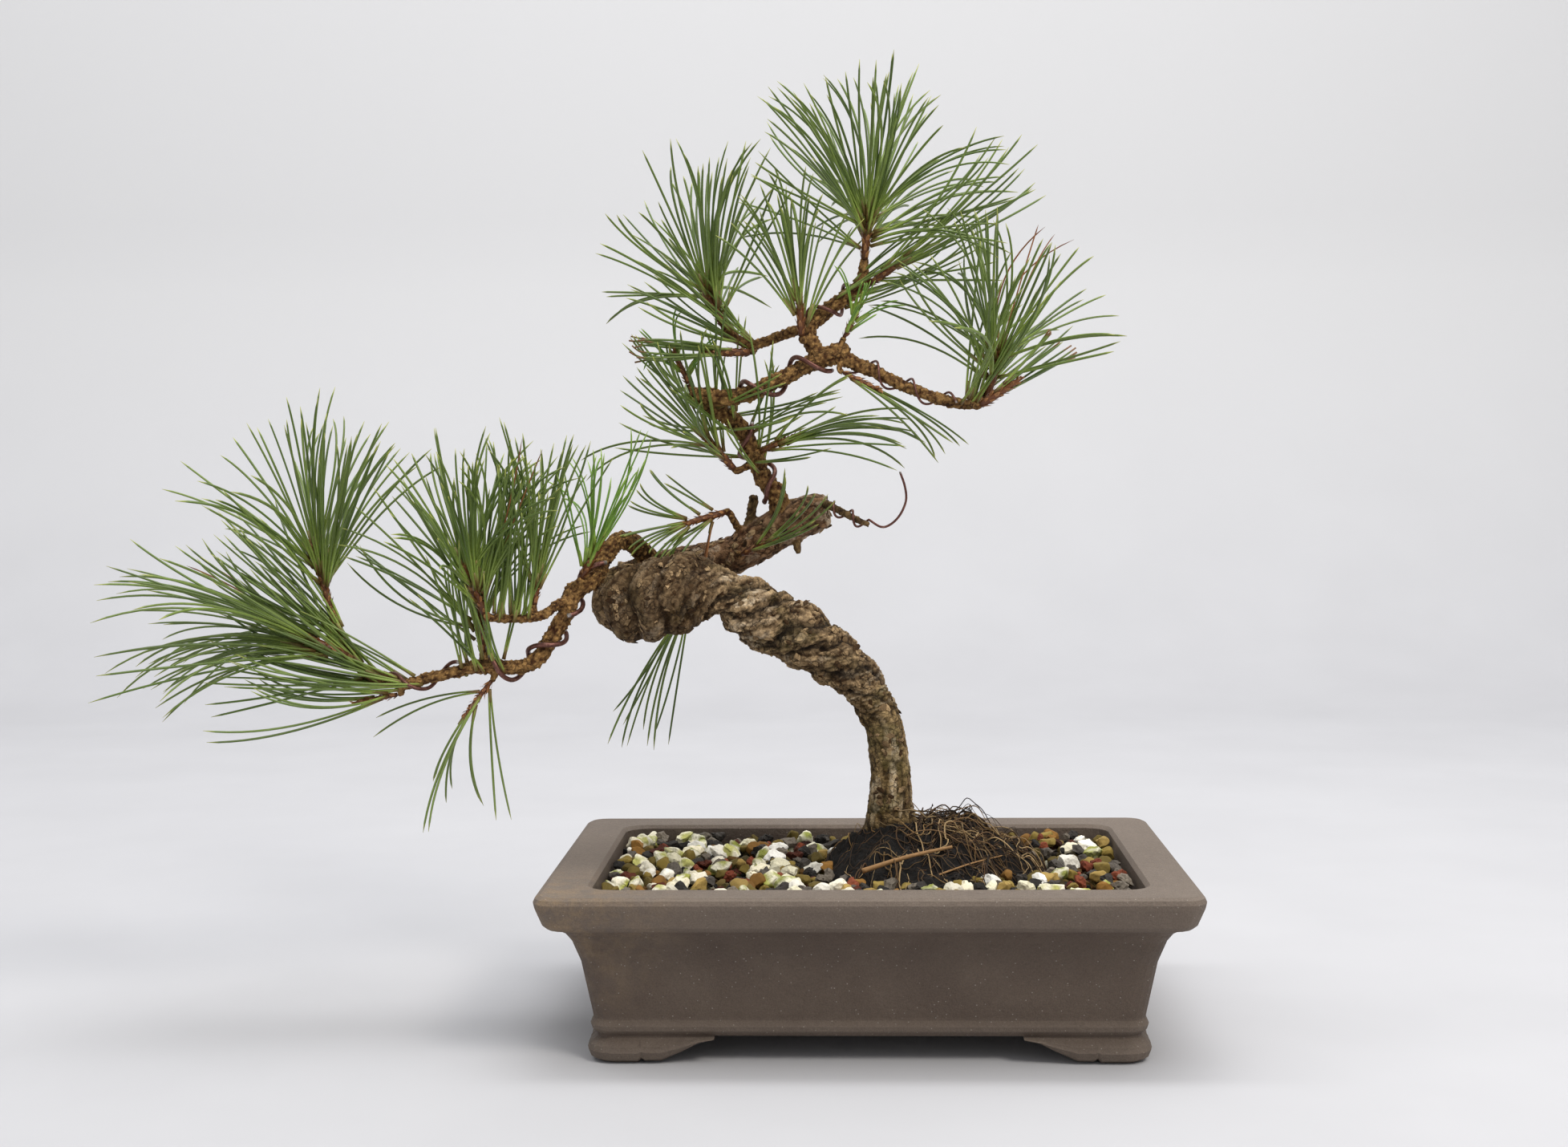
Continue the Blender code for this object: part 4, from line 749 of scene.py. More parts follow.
def bark_relief(points, wood):
    """How far the bark stands out at each point, and its colour."""
    owner, length, angle, radius = place_on_limbs(points, wood)
    kinds = np.array([kind for kind, _, _ in wood])[owner]
    trunk = kinds == "trunk"
    branch = kinds == "branch"
    mm_length = length / MM
    mm_radius = radius / MM
    middle = trunk * ramp(mm_length, 84, 104) * (1 - ramp(mm_length, 224, 240))
    back = trunk * ramp(mm_length, 222, 240)
    foot = trunk * (1 - ramp(mm_length, 84, 104))
    # The bark as if it were unrolled, stretched along the limb, and twisted with the strands.
    twist = angle + middle * mm_length / 12.0
    warp = 1.6 * np.stack([noise_at(points / MM, 5.5, 11), noise_at(points / MM, 5.5, 12)], axis=1)
    stretch = 1.7 + 1.9 * foot
    unrolled = np.stack([
        mm_length / stretch + warp[:, 0], mm_radius * np.cos(twist) + warp[:, 1], mm_radius * np.sin(twist)
    ], axis=1)
    border, number = cells_at(unrolled, 3.6, 1)
    small_border, small = cells_at(unrolled, 1.9, 2)
    lump = noise_at(points / MM, 7.0, 3)
    rough = noise_at(points / MM, 2.4, 4)
    fine = noise_at(points / MM, 1.1, 5)
    plate = number - 0.45
    broken = ramp(noise_at(points / MM, 6.0, 13), -0.35, 0.25)
    crack = np.exp(-((border / 0.12) ** 2)) * broken
    hair = np.exp(-((small_border / 0.13) ** 2)) * (1 - 0.6 * broken)
    disc = trunk * ramp(mm_length, 197, 204) * (1 - ramp(mm_length, 224, 231))
    strength = np.where(trunk, (0.5 * foot + 1.0 * middle + 0.55 * back) * (1 - 0.6 * disc), 0.0)
    relief = strength * (0.8 * plate - 0.5 * crack + 0.5 * (small - 0.5) - 0.25 * hair + 0.75 * rough)
    relief += trunk * (1 - 0.5 * disc) * (0.55 * lump * (0.6 + 0.9 * middle) + 0.3 * fine)
    # Pines leave a peg under every old needle: rows of them wind round the branches.
    rows = 5 * angle + 2 * math.pi * mm_length / 5.2
    other_rows = -8 * angle + 2 * math.pi * mm_length / 4.1
    peg = np.clip(np.sin(rows), -0.2, 1) * np.clip(np.sin(other_rows), -0.2, 1)
    not_trunk = ~trunk
    thick = np.clip(mm_radius / 3.5, 0.45, 1.0)
    relief += not_trunk * thick * (0.6 * peg + 0.6 * rough + 0.4 * fine - 0.25 * hair + 0.3 * lump - 0.25)

    # The bark's own mottling, plus a painted highlight: the patterns that raise the bark also make it paler.
    tone = 0.42 + 0.5 * (number - 0.5) + 0.6 * rough + 0.35 * (small - 0.5) + 0.35 * fine + 0.3 * lump
    color = mix(BARK["trunk_dark"], BARK["trunk_light"], tone)
    rolls = mix(color, mix(BARK["roll_dark"], BARK["roll_light"], tone), middle)
    color = np.where(middle[:, None] > 0, rolls, color)
    color = mix(color, mix(BARK["return_dark"], BARK["return_light"], tone), back)
    # A painted highlight on the branches: the pegs and bumps that raise the bark are painted paler.
    branch_tone = 0.32 + 0.6 * peg + 0.6 * rough + 0.5 * fine
    color = mix(color, mix(BARK["branch_dark"], BARK["branch_light"], branch_tone), branch)
    dead = (kinds == "dead") | (kinds == "root")
    color = mix(color, mix(BARK["dead_dark"], BARK["dead_light"], 0.45 + 0.6 * rough + 0.3 * fine), dead)
    flakes = ramp(number, 0.72, 0.95) * (1 - crack) * trunk * (0.35 + 0.65 * ramp(fine, -0.2, 0.5))
    color = mix(color, BARK["flake"], 0.55 * flakes)
    lichen = trunk * ramp(noise_at(points / MM, 11.0, 6), 0.05, 0.45) * (0.5 * foot + 0.35 * middle)
    color = mix(color, BARK["lichen"], 0.75 * lichen)
    # Painted shade deep in the grooves between the rolls. The cracks and fine lines darken too, partly the
    # bark's own dark and partly painted shade.
    _, groove = roll_shape(length, angle)
    crevice_dark_and_shade = trunk * np.maximum(0.75 * crack * (strength > 0), 0.95 * groove**1.2)
    color = mix(color, BARK["crack"], np.clip(crevice_dark_and_shade + 0.4 * hair * strength, 0, 0.94))
    ball = trunk * ramp(mm_length, 168, 178) * (1 - ramp(mm_length, 204, 222))
    color = mix(color, BARK["roll_dark"], 0.6 * ball)
    at_foot = 1 - ramp(points[:, 2], SOIL_TOP + 18 * MM, SOIL_TOP + 32 * MM)
    color = mix(color, BARK["soil"], at_foot * (0.75 + 0.25 * rough))
    total = lengths_along(wood[0][1])[-1]
    face = trunk & (length > total - 0.8 * MM)
    color = np.where(face[:, None], mix(color, BARK["cut"], 0.8), color)
    relief = np.where(face, 0.12 * rough, relief)
    return relief * MM, color


def make_flakes(points, normals, wood):
    """Loose flakes of bark that have started to peel off the trunk."""
    rng = random.Random(5)
    picked = [rng.randrange(len(points)) for _ in range(FLAKES * 3)]
    owner = place_on_limbs(points[picked], wood)[0]
    shape = Shape()
    made = 0
    for i, index in enumerate(picked):
        if owner[i] != 0 or made == FLAKES or points[index][2] < SOIL_TOP + 26 * MM:
            continue
        made += 1
        out = normals[index]
        along = unit(np.cross(out, any_way(rng)))
        across = np.cross(out, along)
        size = rng.uniform(0.8, 2.4) * MM
        lift = rng.uniform(0.05, 0.55)
        centre = points[index] + 0.12 * MM * out
        rim = []
        for k in range(FLAKE_CORNERS):
            turn = 2 * math.pi * (k + rng.uniform(-0.25, 0.25)) / FLAKE_CORNERS
            reach = size * rng.uniform(0.6, 1.15)
            rise = lift * max(0.0, math.cos(turn)) * reach
            flat = math.cos(turn) * along + 0.65 * math.sin(turn) * across
            rim.append(centre + reach * flat + (rise - 0.1 * MM) * out)
        tone = mix(BARK["roll_dark"], BARK["roll_light"], 0.7 * rng.random() ** 1.3)
        thick = FLAKE_THICK * MM * out
        n = FLAKE_CORNERS
        faces = [(0, k + 1, (k + 1) % n + 1) for k in range(n)]
        faces += [(k + 1, k + 1 + n, (k + 1) % n + 1 + n, (k + 1) % n + 1) for k in range(n)]
        # Each flake's underside is painted towards the darkest bark, as painted shade under it.
        shape.put([centre + 0.3 * MM * out, *rim, *[p - thick for p in rim]], faces,
                  [tone] * (n + 1) + [mix(tone, BARK["crack"], 0.6)] * n)
    shape.piece("bark_flakes", pine_bark(), "pine_bark", False)


def make_tree():
    """The wood as one skin, with its bark, and the flakes on it."""
    wood = limbs()
    bm = bmesh.new()
    for kind, line, radii in wood:
        core, sides = (TRUNK_CORE, 56) if kind == "trunk" else (LIMB_CORE, 16)
        limb_tube(bm, line, radii * core, sides, kind == "trunk")
    mesh = one_skin(bm, WOOD_VOXEL * MM)
    points = mesh_rows(mesh, "co")
    normals = mesh_rows(mesh, "normal")
    relief, color = bark_relief(points, wood)
    points += relief[:, None] * normals
    mesh.vertices.foreach_set("co", points.astype(np.float32).ravel())
    paint(mesh, color)
    mesh.update()
    mesh.name = "tree_wood"
    make_flakes(points, mesh_rows(mesh, "normal"), wood)
    return placed(bpy.data.objects.new("tree_wood", mesh), pine_bark(), True, ["tree"])


# ---------------------------------------------------------------- needles, sheaths and buds
NEEDLE = {name: srgb(code) for name, code in {
    "base": "#9bb050",
    "middle": "#788b42",
    "dark": "#526829",
    "tip": "#b3b457",
    "young_base": "#9cbf4e",
    "young": "#6f9636",
    "young_tip": "#a9c75a",
    "dead": "#8f5c30",
    "dead_tip": "#6e4630",
    "cut": "#7d5a34",
    "sheath": "#6b4a26",
    "sheath_tip": "#8f8a4c",
    "scale": "#7c4a26",
    "scale_tip": "#c08a54",
    "bud": "#5a341c",
}.items()}


def needle_lines(node):
    """Root, middle and tip of every pair of needles in a CAD tuft, and the points of the bud under them.

    A tip has three neighbours, which are the ring round the needle's middle, and the ring's other
    neighbours are the corners of the bud that the needle grows from."""
    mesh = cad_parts[node].data
    points, index = np.unique(np.round(mesh_rows(mesh, "co"), 6), axis=0, return_inverse=True)
    index = index.reshape(-1)
    mesh.calc_loop_triangles()
    triangles = np.empty(len(mesh.loop_triangles) * 3, np.int32)
    mesh.loop_triangles.foreach_get("vertices", triangles)
    beside = {}
    for a, b, c in index[triangles.reshape(-1, 3)]:
        for one, two in ((a, b), (b, c), (c, a)):
            beside.setdefault(int(one), set()).add(int(two))
            beside.setdefault(int(two), set()).add(int(one))
    lines = []
    outer = set()
    for tip, ring in beside.items():
        if len(ring) != 3:
            continue
        corners = set().union(*(beside[r] for r in ring)) - ring - {tip}
        if len(corners) != 3:
            continue
        outer |= ring | {tip}
        root, middle = (np.mean([points[i] for i in group], axis=0) for group in (corners, ring))
        lines.append((root, middle, points[tip]))
    lines.sort(key=lambda line: tuple(line[2]))
    return lines, np.array([points[i] for i in beside if i not in outer])


def curve_through(root, middle, tip, count):
    """Points on the parabola through three points."""
    t = np.linspace(0, 1, count)[:, None]
    return root * (1 - t) * (1 - 2 * t) + middle * 4 * t * (1 - t) + tip * t * (2 * t - 1)


def along_colors(stops, count):
    """Colours along a needle from (place, colour) stops."""
    places = [place for place, _ in stops]
    at = np.linspace(0, 1, count)
    channels = [np.interp(at, places, [color[i] for _, color in stops]) for i in range(4)]
    return np.stack(channels, axis=1)


def inside_box(point):
    """A tip kept a millimetre inside the object's own box."""
    return np.clip(point, np.array(CAD_LOW) + 1.2 * MM, np.array(CAD_HIGH) - 1.2 * MM)


def grow_needle(shape, rng, root, middle, tip, kind, shade):
    """One needle: an oval stalk, stout at its base and pointed."""
    length = np.linalg.norm(tip - root)
    line = curve_through(root, middle, tip, NEEDLE_RINGS)
    share = np.linspace(0, 1, NEEDLE_RINGS)
    width = 0.5 * NEEDLE_WIDTH * MM * rng.uniform(0.88, 1.1)
    point = 1 - 0.0045 / length
    radii = width * np.interp(share, [0, 0.08, 0.7, 0.92, 1], [0.72, 1, 1, 0.86, 0.12])
    if kind == "dead":
        stops = [(0, NEEDLE["sheath"]), (0.1, NEEDLE["dead"]), (0.8, NEEDLE["dead"]),
                 (1, NEEDLE["dead_tip"])]
        radii = 0.7 * radii
    elif kind == "young":
        stops = [(0, NEEDLE["young_base"]), (0.2, NEEDLE["young"]), (0.8, NEEDLE["young"]),
                 (1, NEEDLE["young_tip"])]
        radii = 0.8 * radii
    else:
        body = mix(NEEDLE["middle"], NEEDLE["dark"], shade)
        stops = [
            (0, NEEDLE["base"]), (min(0.16, 0.012 / length), mix(NEEDLE["base"], body, 0.5)), (0.28, body),
            (point, body), (1, NEEDLE["tip"]),
        ]
    colors = along_colors(stops, NEEDLE_RINGS)
    colors[:, :3] *= rng.uniform(0.82, 1.18)
    if kind == "cut":
        radii[-2:] = 0.8 * width
        colors[-2:] = NEEDLE["cut"]
    shape.tube(line, radii, NEEDLE_SIDES, colors, NEEDLE_THICK / NEEDLE_WIDTH, rng.uniform(0, 3))


def turned(vector, axis, angle):
    """A vector turned about an axis."""
    return np.array(Matrix.Rotation(angle, 3, Vector(axis)) @ Vector(vector))


def loosened(rng, line, aim, wild):
    """A pair's line set a little further up the shoot, leaning out its own way and bending under its weight.
    wild is how far, in degrees, it may stray."""
    root, middle, tip = line
    up = rng.random() ** 1.2
    along = tip - root
    length = np.linalg.norm(along)
    out = np.cross(aim, unit(along))
    lean = math.asin(min(1.0, float(np.linalg.norm(out))))
    axis = unit(out + 0.02 * any_way(rng))
    open_up = lean * rng.uniform(0.0, 0.45) * (1.2 - up) + math.radians(abs(rng.gauss(0, wild)))
    stray = unit(any_way(rng))
    bend = unit(np.cross(along, stray)) * length * rng.gauss(0, 0.026)
    parts = []
    for piece, share in ((middle - root, 0.8), (along, 1.0)):
        piece = turned(piece, axis, open_up * share)
        parts.append(turned(piece, stray, math.radians(rng.gauss(0, 0.5 * wild)) * share))
    foot = root + aim * SHOOT_LENGTH * MM * up
    droop = np.array([0, 0, -1.0]) * length * rng.uniform(0, 0.06)
    middle = foot + parts[0] + bend - 0.15 * droop
    far = foot + parts[1] + droop - aim * SHOOT_LENGTH * MM * up * 0.55
    for _ in range(8):
        if np.allclose(far, inside_box(far)):
            break
        far = foot + 0.95 * (far - foot)
        middle = foot + 0.95 * (middle - foot)
    return foot, middle, inside_box(far)


def grow_pair(shape, rng, line, kind):
    """Two needles out of one papery sheath, which part a little as they go."""
    root, middle, tip = line
    along = unit(tip - root)
    spread = unit(np.cross(along, any_way(rng)))
    length = np.linalg.norm(tip - root)
    apart = length * rng.uniform(0.03, 0.11)
    bow = length * rng.uniform(-0.012, 0.022)
    side = unit(np.cross(along, spread))
    shade = rng.random()
    for way in (-1, 1):
        far = inside_box(root + (tip - root) * rng.uniform(0.93, 1.0) + way * apart * spread + bow * side)
        half = middle + way * (0.32 * apart + 0.3 * MM) * spread - 0.5 * bow * side
        grow_needle(shape, rng, root + way * 0.3 * MM * spread, half, far, kind,
                    0.7 * shade + 0.3 * rng.random())
    share = min(0.3, SHEATH_LENGTH * rng.uniform(0.7, 1.1) * MM / length)
    sheath = curve_through(root, middle, tip, 21)[: max(3, round(20 * share) + 2)]
    grow = np.linspace(0, 1, len(sheath))
    radii = SHEATH_RADIUS * MM * np.interp(grow, [0, 0.15, 0.8, 1], [1.05, 1.0, 0.9, 0.75])
    dry = mix(NEEDLE["sheath"], NEEDLE["sheath_tip"], rng.random() * 0.5 + 0.5 * grow)
    if kind == "young":
        dry = mix(dry, NEEDLE["young_base"], 0.6)
    shape.tube(sheath, radii, NEEDLE_SIDES, dry)


def grow_bud(shape, rng, core, aim):
    """The shoot that the needles grow from, covered in small dry scales."""
    middle = core.mean(axis=0)
    reach = (core - middle) @ aim
    wide = np.linalg.norm(core - middle - reach[:, None] * aim, axis=1).max()
    low, high = reach.min(), reach.max()
    ends = middle + aim * low * 1.15, middle + aim * (high + SHOOT_LENGTH * MM)
    t = np.linspace(0, 1, 9)
    line = ends[0] + t[:, None] * (ends[1] - ends[0])
    radii = wide * 0.62 * np.interp(t, [0, 0.2, 0.6, 0.88, 1], [0.8, 0.95, 0.85, 0.6, 0.12])
    shape.tube(line, radii, 10, mix(NEEDLE["bud"], NEEDLE["scale"], t))
    first = unit(np.cross(aim, [0.3, 0.8, 0.5]))
    second = np.cross(aim, first)
    count = int(14 + 3.2 * (high - low) / MM)
    for k in range(count):
        share = (k + 0.5) / count
        angle = GOLDEN_TURN * k
        out = math.cos(angle) * first + math.sin(angle) * second
        across = np.cross(aim, out)
        base = ends[0] + share * (ends[1] - ends[0]) + out * float(np.interp(share, t, radii)) * 0.9
        long = rng.uniform(2.0, 3.6) * MM * (1 - 0.3 * share)
        wide_half = rng.uniform(0.5, 0.85) * MM
        lift = rng.uniform(0.25, 0.7)
        tip = base + long * unit(aim + lift * out)
        middle_point = base + 0.5 * long * unit(aim + 0.5 * lift * out) + 0.25 * MM * out
        points = [base - wide_half * across * 0.8, base + wide_half * across * 0.8,
                  middle_point + wide_half * across,
                  tip, middle_point - wide_half * across, middle_point + 0.2 * MM * out]
        tone = mix(NEEDLE["scale"], NEEDLE["scale_tip"], 0.7 * rng.random())
        colors = [tone, tone, tone, NEEDLE["scale_tip"], tone, mix(NEEDLE["bud"], tone, 0.6)]
        shape.put(points, [(0, 1, 5), (1, 2, 5), (2, 3, 5), (3, 4, 5), (4, 0, 5)], colors)


# Tufts that keep only one pair in so many.
THINNED = {"needles_return_base": 2, "needles_fork_under": 2, "needles_twig_green": 2}

# Stretches of limb that needles clothe along their length, besides the tufts at the tips: the limb, the
# shares of its length, how many pairs, the needles' length in millimetres, their heading and how far they
# stray from it, in degrees.
CLOTHED = {
    "needles_lower_tip": [(LOWER_BRANCH, 0.83, 0.99, 24, (58, 80), (138, 0), 15)],
    "needles_lower_sweep": [(LOWER_BRANCH, 0.74, 0.86, 16, (50, 80), (162, -5), 12)],
    "needles_knot_upright": [(LOWER_BRANCH, 0.56, 0.66, 12, (40, 66), (100, 4), 24)],
    "needles_twig_middle": [(LOWER_TWIG, 0.55, 0.98, 12, (45, 66), (88, 5), 17)],
    "needles_return_left": [(UPPER_BRANCH, 0.18, 0.5, 14, (26, 56), (115, -8), 42)],
    "needles_return_right": [(UPPER_BRANCH, 0.2, 0.45, 9, (30, 56), (25, -10), 34)],
    "needles_crown_left": [(LEFT_TWIG, 0.6, 0.98, 9, (45, 66), (140, -4), 18)],
    "needles_apex_right": [(TOP_BRANCH, 0.55, 0.9, 7, (45, 66), (30, -4), 18)],
    "needles_right_tip": [(RIGHT_BRANCH, 0.86, 0.99, 11, (50, 66), (62, -3), 26)],
}


def clothe(shape, rng, rows, start, end, pairs, reach, aim, stray):
    """Pairs of needles that grow straight off a stretch of limb."""
    line, radii = wood_route(rows, 1.0)
    lengths = lengths_along(line)
    _, first, second = frames(line)
    for k in range(pairs):
        here = lengths[-1] * (start + (end - start) * (k + rng.random()) / pairs)
        i = int(np.clip(np.searchsorted(lengths, here), 0, len(line) - 1))
        turn = GOLDEN_TURN * k
        out = math.cos(turn) * first[i] + math.sin(turn) * second[i]
        way = heading(*aim)
        way = turned(way, unit(np.cross(way, out)), math.radians(abs(rng.gauss(0, stray))))
        length = rng.uniform(*reach) * MM
        root = line[i] + 0.9 * radii[i] * out
        bend = unit(np.cross(way, any_way(rng))) * length * rng.gauss(0, 0.035)
        tip = inside_box(root + way * length + np.array([0, 0, -1.0]) * length * rng.uniform(0, 0.1))
        grow_pair(shape, rng, (root, root + 0.5 * (tip - root) + bend + 0.04 * length * out, tip), "green")


def make_tufts():
    """The needles of every shoot, one piece for each CAD tuft."""
    green = pine_needle("pine_needle")
    young = pine_needle("young_pine_needle")
    for name, (_, _, _, aim) in TWIGS.items():
        node = "needles_" + name
        rng = random.Random(node)
        lines, core = needle_lines(node)
        shape = Shape()
        grow_bud(shape, rng, core, heading(*aim))
        for line in lines[:: THINNED.get(node, 1)]:
            kind = "young" if name in YOUNG_TUFTS else "green"
            if name in ("crown_left_low", "right_low"):
                kind = "cut"
            elif kind == "green" and rng.random() < 0.012:
                kind = "dead"
            grow_pair(shape, rng, loosened(rng, line, heading(*aim), 5.0), kind)
            if len(lines) > THIN_TUFT and rng.random() < EXTRA_PAIRS:
                grow_pair(shape, rng, loosened(rng, line, heading(*aim), 17.0), kind)
        for stretch in CLOTHED.get(node, ()):
            clothe(shape, rng, *stretch)
        shape.piece("tuft_" + name, young if name in YOUNG_TUFTS else green,
                    "young_needle" if name in YOUNG_TUFTS else "pine_needle", True, [node])


# ---------------------------------------------------------------- training wires
# Each wire: the limb it winds round, the shares of the limb's length between which it does, the pitch, its
# diameter in millimetres, and the turn where it starts, in 24ths.
WIRES = {
    "wire_lower_branch": (LOWER_BRANCH, 0.24, 0.385, 28, 2.0, 3),
    "wire_lower_knot": (LOWER_BRANCH, 0.41, 0.6, 24, 2.0, 18),
    "wire_lower_end": (LOWER_BRANCH, 0.66, 0.86, 26, 1.6, 7),
    "wire_upper_branch": (UPPER_BRANCH, 0.1, 0.33, 22, 2.0, 18),
    "wire_crown": (UPPER_BRANCH, 0.6, 0.93, 24, 2.0, 3),
    "wire_right_branch": (RIGHT_BRANCH, 0.12, 0.84, 17, 1.0, 6),
    "wire_top_branch": (TOP_BRANCH, 0.3, 0.8, 18, 1.6, 13),
    "wire_shoot": (DEAD_SHOOT, 0.35, 0.95, 9, 1.0, 17),
}
WIRE_CLEARANCE = 0.5 * MM
SHOOT_TAIL = [(5, -1, -3), (9, -1.5, -2), (13, -1.8, 2), (15.5, -2, 8), (15, -2.5, 14), (13, -3, 20)]


def winding(rows, start, end, pitch, radius, turn):
    """A wire's centre line round a limb."""
    line, radii = wood_route(rows, 1.0)
    lengths = lengths_along(line)
    total = lengths[-1]
    _, first, second = frames(line)
    count = max(8, round((end - start) * total / (pitch * MM) * 28))
    here = np.linspace(start, end, count) * total
    angle = 2 * math.pi * (turn / 24 + (here - start * total) / (pitch * MM))
    k = np.clip(np.searchsorted(lengths, here), 0, len(line) - 1)
    centre = np.stack([np.interp(here, lengths, line[:, i]) for i in range(3)], axis=1)
    away = np.interp(here, lengths, radii) + radius + WIRE_CLEARANCE
    return centre + away[:, None] * (np.cos(angle)[:, None] * first[k] + np.sin(angle)[:, None] * second[k])


def make_wires():
    """The training wires, one piece for each CAD wire."""
    metal = anodised_wire()
    for name, (rows, start, end, pitch, size, turn) in WIRES.items():
        line = winding(rows, start, end, pitch, size / 2 * MM, turn)
        if name == "wire_shoot":
            steps = smooth_route([(0, 0, 0), *SHOOT_TAIL], 1.0)
            line = np.vstack([line, line[-1] + steps[1:] * MM])
        radii = np.full(len(line), size / 2 * MM)
        radii[[0, -1]] *= 0.9
        shape = Shape()
        tone = np.stack([np.interp(np.arange(len(line)), [0, 1, len(line) - 2, len(line) - 1],
                                   [1, 0, 0, 1])] * 4, 1)
        shape.tube(line, radii, WIRE_SIDES, tone)
        shape.piece("skin_of_" + name, metal, "training_wire", True, [name])


# ---------------------------------------------------------------- gravel
STONES = {
    # name: (slot, colours, how much of the bed it covers, how rough its skin is)
    "pumice": ("pumice", ["#f1ecde", "#e6dfca", "#f8f5ec", "#dcd6ba", "#eee5c9"], 0.11, 0.12),
    "algae_pumice": ("pumice", ["#9fa14c", "#8f9444", "#b5b36a"], 0.08, 0.12),
    "clay_granule": ("clay_granule", ["#7d6a30", "#8f7a3e", "#655627", "#86602b", "#574a22", "#a58a4d"],
                     0.36, 0.07),
    "red_lava": ("lava", ["#6b3320", "#7e4029", "#4f2517"], 0.09, 0.15),
    "dark_lava": ("lava", ["#47423d", "#34302c", "#5e574f", "#262320", "#736a5e"], 0.31, 0.15),
}
PALE_STONES = ("pumice", "algae_pumice")


def stone_shape(rng, roughness):
    """One broken stone, about a unit across: a ball with flats cut on it and a pitted skin."""
    bm = bmesh.new()
    bmesh.ops.create_icosphere(bm, subdivisions=3, radius=0.5)
    points = np.array([v.co for v in bm.verts])
    faces = [[v.index for v in face.verts] for face in bm.faces]
    bm.free()
    for _ in range(rng.randrange(10, 15)):
        flat = unit(any_way(rng))
        depth = rng.uniform(0.27, 0.4)
        over = points @ flat - depth
        points -= np.where(over > 0, over, 0)[:, None] * flat
    points *= np.array([1.0, rng.uniform(0.72, 0.95), rng.uniform(0.6, 0.8)])
    seed = rng.randrange(100)
    lumps = noise_at(points, 0.28, seed) * 0.6 + noise_at(points, 0.12, seed) * 0.55
    points += unit(points) * (lumps * roughness)[:, None]
    return points, faces


def random_turn(rng, tilt):
    """A stone turned any way round and tilted a little."""
    turn = Matrix.Rotation(rng.uniform(0, 2 * math.pi), 3, "Z")
    sideways = Matrix.Rotation(rng.uniform(-tilt, tilt), 3, "X")
    forwards = Matrix.Rotation(rng.uniform(-tilt, tilt), 3, "Y")
    return np.array(sideways @ forwards @ turn)


def bed_height(x, y):
    """How high the gravel lies: nearly level, and a little heaped in the back right."""
    heap = 3.0 * math.exp(-(((x - POT_X) / MM - 84) ** 2 / 500 + ((y - POT_Y) / MM - 50) ** 2 / 260))
    return BED_TOP + (0.6 + heap + 0.9 * noise.noise(Vector((x, y, 0)) / (26 * MM))) * MM


def near_mound(x, y):
    """Below 1 inside the mound's outline."""
    middle = (MOUND_LOW + MOUND_HIGH) / 2
    half = (MOUND_HIGH - MOUND_LOW) / 2
    return math.hypot((x - middle.x) / half.x, (y - middle.y) / half.y)


def make_gravel():
    """Two layers of stones on a jittered grid, one piece for each kind of stone."""
    rng = random.Random(31)
    templates = {name: [stone_shape(rng, rough) for _ in range(7)] for name,
                 (_, _, _, rough) in STONES.items()}
    shapes = {name: Shape() for name in STONES}
    spacing = STONE_SPACING * MM
    half_x = (BED_HIGH.x - BED_LOW.x) / 2 - 2.6 * MM
    half_y = (BED_HIGH.y - BED_LOW.y) / 2 - 2.6 * MM
    corner = 9 * MM
    for layer, lift in ((0, -3.2), (1, 0.6)):
        rows = int(2 * half_y / (spacing * ROW_PITCH)) + 1
        columns = int(2 * half_x / spacing) + 1
        for row in range(rows):
            for column in range(columns):
                x = -half_x + (column + 0.5 * ((row + layer) % 2)) * spacing + rng.uniform(-0.35,
                                                                                           0.35) * spacing
                y = -half_y + row * spacing * ROW_PITCH + rng.uniform(-0.35, 0.35) * spacing
                out_x = max(0, abs(x) - half_x + corner)
                out_y = max(0, abs(y) - half_y + corner)
                if abs(x) > half_x or abs(y) > half_y or math.hypot(out_x, out_y) > corner:
                    continue
                x += POT_X
                y += POT_Y
                inside = near_mound(x, y)
                if inside < 0.78 or (inside < 1.0 and rng.random() < 0.5):
                    continue
                if layer == 1 and rng.random() < 0.34:
                    continue
                left = (POT_X - x) / half_x
                weights = []
                for name, (_, _, share, _) in STONES.items():
                    patch = 1 + 0.9 * noise.noise(Vector((x / (17 * MM), y / (17 * MM), len(name) * 3.1)))
                    pale = name in PALE_STONES
                    bias = 1 + 0.35 * left * (1 if pale else -0.5)
                    weights.append(share * max(0.1, patch) * bias * (0.5 if pale and layer == 0 else 1.0))
                name = rng.choices(list(STONES), weights)[0]
                points, faces = rng.choice(templates[name])
                big = 1.32 if name in PALE_STONES and layer == 1 else 0.92
                size = rng.uniform(0.62, 1.25) * STONE_SIZE * MM * big
                height = bed_height(x, y) + (lift + rng.uniform(-0.7, 0.9)) * MM
                lying = points @ random_turn(rng, 0.6).T * size
                top = min(height + size * 0.34, POT_HIGH.z - 1.2 * MM - lying[:, 2].max())
                base = np.array(srgb(rng.choice(STONES[name][1])))
                # The lower layer's stones are painted at under half the brightness, as painted shade in the
                # gaps under the top stones. The rest of the spread is random tone.
                light = rng.uniform(0.7, 1.1) * (1.08 if layer == 1 else 0.42)
                color = np.append(base[:3] * light, 1.0)
                if name == "algae_pumice":
                    # Algae grow in patches on the pale stone.
                    patches = ramp(noise_at(points, 0.4, column % 9), -0.2, 0.25)
                    color = mix(np.append(np.array(srgb("#ece6cf"))[:3] * light, 1.0), color, patches)
                shapes[name].put(lying + np.array([x, y, top]), faces, color)
    nodes = ["gravel_bed"] + [f"pebble_{i:02d}" for i in range(1, 17)]
    for name, (slot, _, _, _) in STONES.items():
        heap = shapes[name].piece("gravel_" + name, stone(name), slot, True,
                                  nodes if name == "pumice" else ())
        heap.data.set_sharp_from_angle(angle=math.radians(32))


